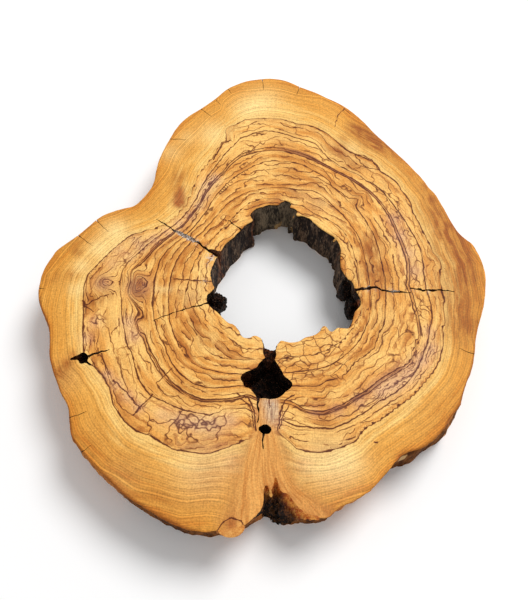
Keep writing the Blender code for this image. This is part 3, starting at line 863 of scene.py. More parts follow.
def shapeWalls(block):
    bm = bmesh.new()
    bm.from_mesh(block.data)
    walls = [face for face in bm.faces if abs(face.normal.z) < ruler["sawnSlope"]]
    outward = {}
    for face in walls:
        for corner in face.verts:
            outward[corner] = outward.get(corner, Vector()) + Vector((*face.normal.xy, 0))
    moves = {corner: way.normalized() * wallPush(*corner.co) for corner, way in outward.items()}
    # the sawn faces are drawn along with their edges, so that they don't fold there
    edges = [corner for corner in moves
             if min(corner.co.z, ruler["thickness"] - corner.co.z) < ruler["weld"]]
    nearby = KDTree(len(edges))
    for i, corner in enumerate(edges):
        nearby.insert(corner.co, i)
    nearby.balance()
    for corner in bm.verts:
        if corner in outward:
            continue
        found = nearby.find_n(corner.co, relief["drawnBy"])
        shares = [1 / (away + 0.1) ** 2 for place, i, away in found]
        drawn = sum((moves[edges[i]] * share for (place, i, away), share in zip(found, shares)),
                    Vector()) / sum(shares)
        moves[corner] = drawn * max(0.0, 1 - found[0][2] / relief["drawnReach"])
    for corner, move in moves.items():
        corner.co += move
    bm.to_mesh(block.data)
    bm.free()


def addFinish(piece, finish):
    piece.data.materials.clear()
    piece.data.materials.append(finish)


def coatBlock(block):
    # sawn faces, outer wall and hollow wall each have their own finish
    for name in ("sawnFace", "underside", "outerWall", "hollowWall"):
        block.data.materials.append(finishes[name])
    for face in block.data.polygons:
        if abs(face.normal.z) > ruler["sawnSlope"]:
            face.material_index = 0 if face.normal.z > 0 else 1
        else:
            face.material_index = 3 if inHollow(face.center.x, face.center.y) else 2


block = sawnBlock()
shapeWalls(block)
coatBlock(block)


def joinSolids(target, tool, operation):
    only(target)
    change = target.modifiers.new("change", "BOOLEAN")
    change.operation = operation
    change.solver = "MANIFOLD"
    change.material_mode = "TRANSFER"
    change.object = tool
    bpy.ops.object.modifier_apply(modifier=change.name)
    bpy.data.objects.remove(tool)


print("pits and channel")
pits = {
    "pocket": {
        "top": [(3.5, -90.5), (8.8, -92), (12, -97), (15.5, -102.5), (18.5, -109),
                (22.5, -112.3), (25.6, -116.5), (24.6, -120), (20, -123.5), (15.5, -128),
                (8, -130.8), (1, -130), (-5.5, -129.6), (-9.5, -125), (-13.5, -120.5),
                (-17.6, -119.5), (-19, -115.5), (-21.4, -110.5), (-18.5, -106.2),
                (-12, -103.3), (-6.5, -100), (-3.5, -95.5)],
        "middle": (2.0, -112.0), "depth": 32.0, "closing": 0.84, "rough": 2.6, "grain": 4.5},
    "channel": {
        "top": [(-3, -62), (13, -62), (12.4, -77.5), (11, -84), (11.6, -88.5), (8.6, -94),
                (3, -97), (0.6, -90.5), (-1.2, -85), (-0.8, -78.5), (-2.4, -72.5)],
        "middle": (5.5, -78.0), "depth": 13.0, "closing": 0.8, "rough": 1.8, "grain": 3.5},
    "smallHole": {
        "top": [(-5, -157.5), (-2.4, -155), (1, -154), (4.2, -155), (6.4, -158),
                (5.2, -161.4), (0.8, -162.4), (-3.2, -160.8)],
        "middle": (1.0, -158.5), "depth": 14.0, "closing": 0.7, "rough": 1.0, "grain": 2.5},
    "barkPit": {
        "top": [(-178.5, -93), (-176, -90.4), (-171.5, -88.2), (-167, -86), (-163.5, -88),
                (-161.6, -91), (-162.5, -94), (-158.8, -98.4), (-164, -96.5), (-169, -97),
                (-171, -93.8), (-175, -93.4)],
        "middle": (-167.5, -92.0), "depth": 11.0, "closing": 0.65, "rough": 1.2, "grain": 2.5},
    "steps": 5,
    "levels": 12,
    "floorShares": (0.82, 0.75, 0.66, 0.5, 0.4),
    "edgeRag": 0.35,
}


def roughen(piece, rough, grain):
    face = ruler["thickness"]
    for corner in piece.data.vertices:
        co = corner.co
        below = face - co.z
        if below < -ruler["weld"]:
            below = 0.0
        share = min(1.0, pits["edgeRag"] / rough + max(0.0, below) / 5)
        place = Vector(co) / grain
        shake = noise.noise_vector(place) + 0.5 * noise.noise_vector(place * 2.7)
        if below < ruler["weld"]:
            shake.z = 0
        corner.co += shake * rough * share


def drawnTool(name, points):
    # its top stands clear of the sawn face
    tool = drawnLoops(name, [points], pits["steps"], ruler["thickness"] + ruler["overlap"])
    inEdit(tool)
    bpy.ops.mesh.edge_face_add()
    pushDown(ruler["overlap"])
    return tool


def pitTool(name):
    pit = pits[name]
    tool = drawnTool(name, pit["top"])
    levels = pits["levels"]
    for i in range(levels):
        here = 1 - (1 - pit["closing"]) * i / levels
        after = 1 - (1 - pit["closing"]) * (i + 1) / levels
        pushDown(pit["depth"] / levels, after / here, pit["middle"])
    for share in pits["floorShares"]:
        pushDown(0, share, pit["middle"])
    faceOutwards()
    leaveEdit(tool)
    roughen(tool, pit["rough"], pit["grain"])
    addFinish(tool, finishes["rottenBark"])
    return tool


for name in ("pocket", "channel", "smallHole", "barkPit"):
    joinSolids(block, pitTool(name), "DIFFERENCE")


print("notch")
notch = {
    "top": [
        (-7, -232), (-2.2, -225.5), (-0.4, -219), (0.6, -208), (2.4, -206.5), (5, -210),
        (7.2, -208.5), (8.6, -203), (10, -200), (12, -205), (15, -211.5), (19.5, -213.5),
        (24, -218.5), (30, -225.5), (37, -230), (46, -232.5), (52, -246), (-7, -246),
    ],
    "foot": [                      # where the same points come out at the lower face
        (-9, -237), (-5, -232), (-2.5, -229), (0, -226), (2, -225), (4, -226.5),
        (6, -228), (8, -229), (10, -229.5), (12, -231), (15, -233), (19.5, -234),
        (24, -234.5), (30, -235), (37, -235.5), (46, -237), (52, -250), (-9, -250),
    ],
    "bendLevel": 27.5,
    "bend": 0.55,
    "levels": 26,
    "rough": 2.0,
    "grain": 4.0,
}


def notchSlope(x, y):
    total, way = 0.0, Vector((0, 0))
    for top, foot in zip(notch["top"], notch["foot"]):
        near = 1 / (hypot(x - top[0], y - top[1]) + 0.5) ** 4
        total += near
        way += near * (Vector(foot) - Vector(top))
    return way / total


def notchTool():
    tool = drawnTool("notch", notch["top"])
    for i in range(notch["levels"]):
        pushDown((ruler["thickness"] + ruler["overlap"]) / notch["levels"])
    faceOutwards()
    leaveEdit(tool)
    for corner in tool.data.vertices:
        co = corner.co
        if co.z >= notch["bendLevel"]:
            fall = ruler["thickness"] - notch["bendLevel"]
            share = notch["bend"] * max(0.0, ruler["thickness"] - co.z) / fall
        else:
            share = 1 - (1 - notch["bend"]) * max(0.0, co.z) / notch["bendLevel"]
        way = notchSlope(co.x, co.y) * share
        corner.co += Vector((way.x, way.y, 0))
    roughen(tool, notch["rough"], notch["grain"])
    addFinish(tool, finishes["notchWood"])
    return tool


joinSolids(block, notchTool(), "DIFFERENCE")


print("cracks")
cracks = {
    "lines": [                     # depth, then the line's points with the width at each
        (26.0, [((82, -20), 5.0), ((90, -20.5), 3.2), ((99, -20), 2.4), ((106, -18.6), 2.6),
                ((117, -22), 2.0), ((129, -23.6), 2.0), ((142, -24), 1.0)]),
        (14.0, [((142, -19), 0.9), ((149, -20.5), 2.1), ((160, -21.6), 2.4),
                ((169, -21.4), 1.9), ((184, -23), 0.7)]),
        (24.0, [((-40, 17), 7.0), ((-48, 20), 4.4), ((-56, 24), 3.2), ((-64, 30), 2.4),
                ((-70, 34), 1.2)]),
        (10.0, [((-90, 46), 1.0), ((-97, 51), 1.3), ((-110, 60), 0.6)]),
        (12.0, [((-52, -34.5), 2.4), ((-62, -37.5), 1.3), ((-80, -43), 1.0),
                ((-105, -53), 0.6)]),
        (10.0, [((-20, 45), 2.4), ((-27, 50.5), 1.4), ((-37, 58.5), 0.8)]),
        (8.0, [((-163, -90), 2.4), ((-154, -86.5), 1.8), ((-143, -83), 0.8)]),
        (10.0, [((-4.6, -127), 2.4), ((-6, -135), 1.6), ((-4.4, -144), 1.4),
                ((-5.8, -152), 0.8)]),
        (8.0, [((0.4, -160), 1.6), ((-0.6, -168), 1.4), ((-0.8, -176), 0.8)]),
    ],
    "fibrous": [                   # shallow stretches that fibres still cross
        (2.0, [((-65, 31), 2.2), ((-74, 36.5), 4.0), ((-84, 42.5), 3.6), ((-93, 48), 1.6)]),
        (1.6, [((96, -19.4), 1.8), ((101, -19), 3.2), ((106, -19), 2.0)]),
        (1.4, [((118, -22), 1.8), ((124, -22.4), 3.0), ((131, -23), 2.0)]),
    ],
    "checks": [                    # short ones, from outside the rim to their end on the face
        ((-3, 254), (0, 233)), ((42, 241), (37, 226)), ((-43.5, 237), (-36, 228)),
        ((-57, 223.5), (-49, 212)), ((-72, 207), (-58, 194)), ((-105.5, 163), (-84, 162)),
        ((-173, 61.5), (-158, 45)), ((-190, 42.5), (-171, 28)), ((-221, -19), (-210, -20)),
        ((-175, -149.5), (-157, -142)), ((-160, -180), (-150, -172)), ((199, -90), (181, -82)),
    ],
    "checkDepth": 16.0,
    "checkWidth": 0.9,
    "checkEnd": 0.3,
    "closing": 0.2,
    "levels": 7,
    "step": 1.6,                   # between two points along a crack
    "wander": 0.55,
    "wanderPatch": 5.0,
    "rag": 0.42,
}


def widthOnLine(line, x, y):
    best = (1e9, 0.0)
    for (start, startWidth), (end, endWidth) in zip(line, line[1:]):
        along = Vector(end) - Vector(start)
        share = (Vector((x, y)) - Vector(start)).dot(along) / along.length_squared
        share = min(1.0, max(0.0, share))
        away = (Vector(start) + along * share - Vector((x, y))).length
        best = min(best, (away, startWidth + (endWidth - startWidth) * share))
    return best[1]


def crackTool(depth, line, finish):
    length = sum((Vector(b[0]) - Vector(a[0])).length for a, b in zip(line, line[1:]))
    steps = max(2, round(length / (len(line) - 1) / cracks["step"]))
    tool = drawnLoops("crack", [[place for place, width in line]], steps,
                      ruler["thickness"] + ruler["overlap"], closed=False)
    widest = max(width for place, width in line)
    inEdit(tool)
    for fall in [ruler["overlap"]] + [depth / cracks["levels"]] * cracks["levels"]:
        pushDown(fall)
    leaveEdit(tool)
    weights = tool.vertex_groups.new(name="width")
    for corner in tool.data.vertices:
        co = corner.co
        below = max(0.0, ruler["thickness"] - co.z) / depth
        ragged = 1 + cracks["rag"] * 2 * noise.noise(Vector(co) / 3)
        width = widthOnLine(line, co.x, co.y) * (1 - (1 - cracks["closing"]) * below) * ragged
        weights.add([corner.index], min(1.0, width / (2 * widest)), "REPLACE")
        wander = Vector((co.x, co.y, min(co.z, ruler["thickness"]) / 3)) / cracks["wanderPatch"]
        sway = noise.noise_vector(wander) * cracks["wander"] * min(1.5, 0.6 + width / 3)
        corner.co += Vector((sway.x, sway.y, 0)) * 2
    thicken = tool.modifiers.new("width", "SOLIDIFY")
    thicken.thickness = 2 * widest
    thicken.offset = 0
    thicken.vertex_group = weights.name
    bpy.ops.object.modifier_apply(modifier=thicken.name)
    inEdit(tool)
    faceOutwards()
    leaveEdit(tool)
    addFinish(tool, finish)
    return tool


checks = [(cracks["checkDepth"], [(outer, cracks["checkWidth"]), (inner, cracks["checkEnd"])])
          for outer, inner in cracks["checks"]]
for lines, finish in ((cracks["lines"], "crackWall"), (cracks["fibrous"], "crackFibre"),
                      (checks, "crackWall")):
    for depth, line in lines:
        joinSolids(block, crackTool(depth, line, finishes[finish]), "DIFFERENCE")


print("bark lumps and knot")
lumps = {
    "places": [                    # middle, then radii
        ((-47.5, -24.5, 26.0), (10.2, 8.4, 15.5)),
        ((-50.2, -34.3, 21.0), (6.8, 7.2, 17.2)),
        ((83.0, -9.0, 24.0), (8.5, 8.0, 17.0)),
        ((88.5, -27.0, 19.0), (8.0, 10.0, 16.0)),
    ],
    "rough": 0.2,
    "grain": 1.5,
    "crumbs": 0.13,
    "crumbGrain": 6.0,
}


def barkLump(middle, radii):
    bpy.ops.mesh.primitive_ico_sphere_add(subdivisions=5, radius=1.0)
    lump = bpy.context.object
    for corner in lump.data.vertices:
        co = Vector(corner.co)
        grow = lumps["rough"] * noise.noise(co * lumps["grain"] + Vector(middle))
        crumb = lumps["crumbs"] * noise.noise(co * lumps["crumbGrain"] + Vector(middle))
        corner.co = co * (1 + grow) * (1 + crumb)
    inEdit(lump)
    bpy.ops.transform.resize(value=radii, center_override=(0, 0, 0))
    bpy.ops.transform.translate(value=middle)
    leaveEdit(lump)
    addFinish(lump, finishes["rottenBark"])
    return lump


knot = {
    "middle": (-27.5, -240.0),
    "radii": (11.6, 8.4),
    "sides": 64,
    "levels": [                    # fall from the one above, share of its size, step inwards
        (1.0, 1.031, 0.0), (2.0, 0.992, 0.2), (2.0, 0.978, 0.3), (2.5, 0.92, 0.9),
        (2.5, 0.874, 1.1), (3.0, 0.8, 1.8), (3.0, 0.7, 1.6), (2.0, 0.8, 1.1),
    ],
}


def sawnKnot():
    middle, radii = knot["middle"], knot["radii"]
    bpy.ops.mesh.primitive_circle_add(vertices=knot["sides"], radius=1.0, fill_type="NGON")
    piece = bpy.context.object
    inEdit(piece)
    first = 1 / knot["levels"][0][1]
    bpy.ops.transform.resize(value=(radii[0] * first, radii[1] * first, 1),
                             center_override=(0, 0, 0))
    bpy.ops.transform.translate(value=(*middle, ruler["thickness"]))
    inwards = 0.0
    for fall, share, step in knot["levels"]:
        pushDown(fall, share, (middle[0], middle[1] + inwards))
        bpy.ops.transform.translate(value=(0, step, 0))
        inwards += step
    faceOutwards()
    leaveEdit(piece)
    addFinish(piece, finishes["knotWood"])
    return piece


for middle, radii in lumps["places"]:
    joinSolids(block, barkLump(middle, radii), "UNION")
joinSolids(block, sawnKnot(), "UNION")
block.data.calc_loop_triangles()
print(len(block.data.polygons), "faces", len(block.data.loop_triangles), "triangles")


print("ring figure")
figure = {                         # the rings are read as distances from the heart
    "closest": 3.5,                # two rings stay this far apart
    "innerSpan": 16.0,             # between two rings inside the first
    "calmFade": 7.0,               # how far into the sapwood the small bends of a ring reach
    "eyeSway": 1.6,
    "innermost": (2.0, 40.0),      # number and radius of the ring that the others start from
    "rings": {
        3: [(28, 79), (40, 76), (50, 68), (60, 62), (70, 57), (78, 50), (84, 40), (88, 28),
            (92, 10), (94, -10), (96, -28), (94, -45), (88, -58), (80, -68), (70, -78),
            (60, -84), (48, -88), (36, -90), (24, -91), (12, -93), (0, -93), (-10, -94),
            (-26, -94), (-35.6, -93), (-44.8, -90.4), (-52, -85), (-59, -77), (-61.5, -70),
            (-69, -61), (-75, -51.5), (-78, -42), (-77, -30), (-75, -18), (-73, -5), (-70, 8),
            (-64, 20), (-58, 30), (-50, 40), (-42, 50), (-33, 61), (-24, 72), (-14, 82),
            (0, 86), (14, 86)],
        4: [(0, 97), (10, 98), (20, 98), (35, 96), (50, 95), (60, 90), (68, 80), (75, 72),
            (82, 63), (88, 52), (95, 40), (98, 25), (100, 10), (101, -5), (102, -20),
            (102, -35), (100, -48), (96, -60), (90, -72), (82, -82), (73, -90), (62, -98),
            (50, -102), (38, -104), (28, -105), (15, -106), (0, -107), (-14, -107),
            (-26, -107), (-37, -106), (-48.5, -103), (-60, -100), (-69, -94), (-76, -85),
            (-82, -74), (-87, -61), (-90, -50), (-91, -40), (-92, -28), (-92, -15), (-90, 0),
            (-86, 12), (-80, 24), (-72, 34), (-62, 45), (-54, 55), (-46, 68), (-38, 78),
            (-28, 87), (-15, 93)],
        5: [(0, 133), (10, 135), (20, 134), (40, 130), (50, 123), (60, 116), (68, 108),
            (72, 100), (80, 93), (88, 83), (98, 68), (105, 55), (110, 42), (115, 15), (117, 0),
            (118, -8), (117, -25), (115.5, -42), (112, -59), (107, -66), (102, -81), (91, -90),
            (83, -95), (74, -107), (64, -112), (55, -113), (50, -118), (38, -118), (29, -118),
            (15, -119), (0, -120), (-12, -119), (-24, -118), (-34, -119.6), (-43, -120.4),
            (-52, -120), (-60, -118), (-69, -113.5), (-76, -107), (-84, -98), (-89, -88.5),
            (-92, -79), (-98, -70), (-102, -59), (-105, -50), (-107, -39), (-107, -28),
            (-106, -15), (-105, 0), (-103, 12), (-96, 24), (-84, 36), (-74, 46), (-66, 58),
            (-58, 72), (-52, 86), (-44, 98), (-34, 110), (-22, 120), (-10, 128)],
        6: [(0, 146), (10, 148), (20, 146), (35, 142), (50, 135), (62, 128), (75, 120),
            (88, 112), (100, 103), (110, 92), (118, 82), (125, 70), (130, 58), (133, 45),
            (137, 30), (141, 8), (138, -16), (143, -42), (146.6, -69), (143, -74.5),
            (138, -86.6), (134.5, -97), (124, -102), (114, -107), (103, -114), (93, -123),
            (83, -128), (72, -135), (60, -140), (52, -142.6), (41, -141.7), (33, -139),
            (26, -133), (18, -131), (0, -132), (-5, -130), (-15, -126), (-24, -129),
            (-34, -130.7), (-43, -131), (-54, -131.5), (-63, -128), (-74, -122), (-84, -114),
            (-93, -103), (-100, -92), (-107, -81), (-109, -74), (-111, -60), (-113, -48),
            (-115, -38), (-116, -28), (-118, -15), (-120, -2), (-118, 10), (-111, 22),
            (-103, 31), (-92, 42), (-82, 52), (-74, 64), (-66, 78), (-60, 92), (-53, 104),
            (-42, 118), (-34, 130), (-25, 139), (-12, 144)],
        7: [(0, 175), (10, 174), (20, 171), (30, 167), (40, 163), (50, 160), (57, 156),
            (60, 150), (65, 142), (70, 135), (80, 127), (90, 120), (100, 115), (107, 108),
            (115, 103), (122, 96), (128, 87), (133, 78), (140, 65), (147, 50), (152, 38),
            (155, 30), (157, 12), (156, 0), (157, -20), (160, -35), (159, -55), (155, -64),
            (152, -76), (147, -87), (142, -98), (138, -105.5), (128, -117.6), (117, -126),
            (103, -133), (91, -142), (81, -148), (69, -154), (60, -158), (50, -157),
            (40, -156), (28, -155), (15, -150), (0, -148), (-17, -138), (-26, -139),
            (-37, -140), (-47, -145), (-54, -144), (-63, -142), (-73, -140), (-82, -136),
            (-93, -131), (-102, -127), (-110, -118), (-114, -111), (-118, -100),
            (-121, -88.5), (-128, -76), (-130, -66), (-133, -55), (-135.6, -40), (-135, -27),
            (-139, -12), (-138, -1), (-133, 10), (-122, 22), (-113, 32), (-103, 42),
            (-93, 52), (-85, 60), (-77, 72), (-70, 86), (-66, 98), (-62, 108), (-56, 120),
            (-50, 130), (-42, 143), (-33, 155), (-22, 165), (-10, 172)],
        8: [(0, 192), (20, 190), (35, 184), (55, 180), (62, 175), (70, 170), (78, 160),
            (85, 152), (92, 145), (100, 141), (115, 134), (121, 127), (123, 119), (130, 115),
            (137, 108), (142, 102), (142, 97), (148, 88), (152, 78), (152, 68), (160, 45),
            (165, 30), (168, 18), (174, 5), (172, 0), (171, -12), (172, -24), (173, -31),
            (170, -42), (171, -54), (167, -62), (168, -69), (165.5, -80), (162, -92),
            (156, -102), (147, -112), (134.5, -126), (124, -133), (112, -142), (100, -151),
            (91, -154), (84.5, -160), (80, -168), (69, -173), (59, -176), (48, -178),
            (36, -177), (28, -174.5), (22, -168), (16, -162), (8, -158), (-8, -162),
            (-20, -168), (-35, -175), (-50, -180), (-65, -178), (-85, -172), (-100, -163),
            (-112, -160), (-122, -152), (-128, -145), (-135, -135), (-138, -122),
            (-145, -110), (-155, -100), (-165, -95), (-168, -80), (-170, -65), (-171, -50),
            (-173, -37), (-174, -20), (-173, -5), (-165, 5), (-155, 18), (-145, 30),
            (-135, 40), (-120, 45), (-110, 47), (-98, 54), (-88, 63), (-80, 75), (-74, 90),
            (-72, 102), (-69, 112), (-62, 125), (-54, 136), (-45, 157), (-36, 162),
            (-36, 175), (-28, 185), (-20, 190)],
    },
    "rimRing": 9,
    "calmReach": 9,                # degrees to each side
    "meanRadii": {2: 40, 3: 85, 4: 101, 5: 121, 6: 136, 7: 152, 8: 172, 9: 215},
    "eyes": [                      # middle, reach both ways, how many rings they push aside
        ((-123, -17), (8, 16), -1.8), ((-157, -14), (9, 8), -0.6), ((-74, -170), (5, 4), -0.3),
        ((167, 8), (4, 6), -0.4), ((-35, 172), (8, 8), -0.4),
        ((98, 86), (8, 6), -0.4), ((-118, -58), (6, 9), -0.5),
    ],
    "columnBend": ((4, -210), (36, 60), 0.5),    # the sapwood's rings turn down beside it
    "columnTop": -128,
    "columnSoft": ((-215, -150), (20, 3)),       # how soft its sides are at two levels
    "columnSides": [               # level, left and right side of the streaked column
        (-128, -4, 14), (-140, -7, 14), (-150, -7, 12), (-158, -9, 10), (-163, -12, 13),
        (-175, -16, 17), (-190, -22, 22), (-203, -25, 28), (-213, -28, 38), (-222, -30, 52),
        (-232, -34, 62),
    ],
}

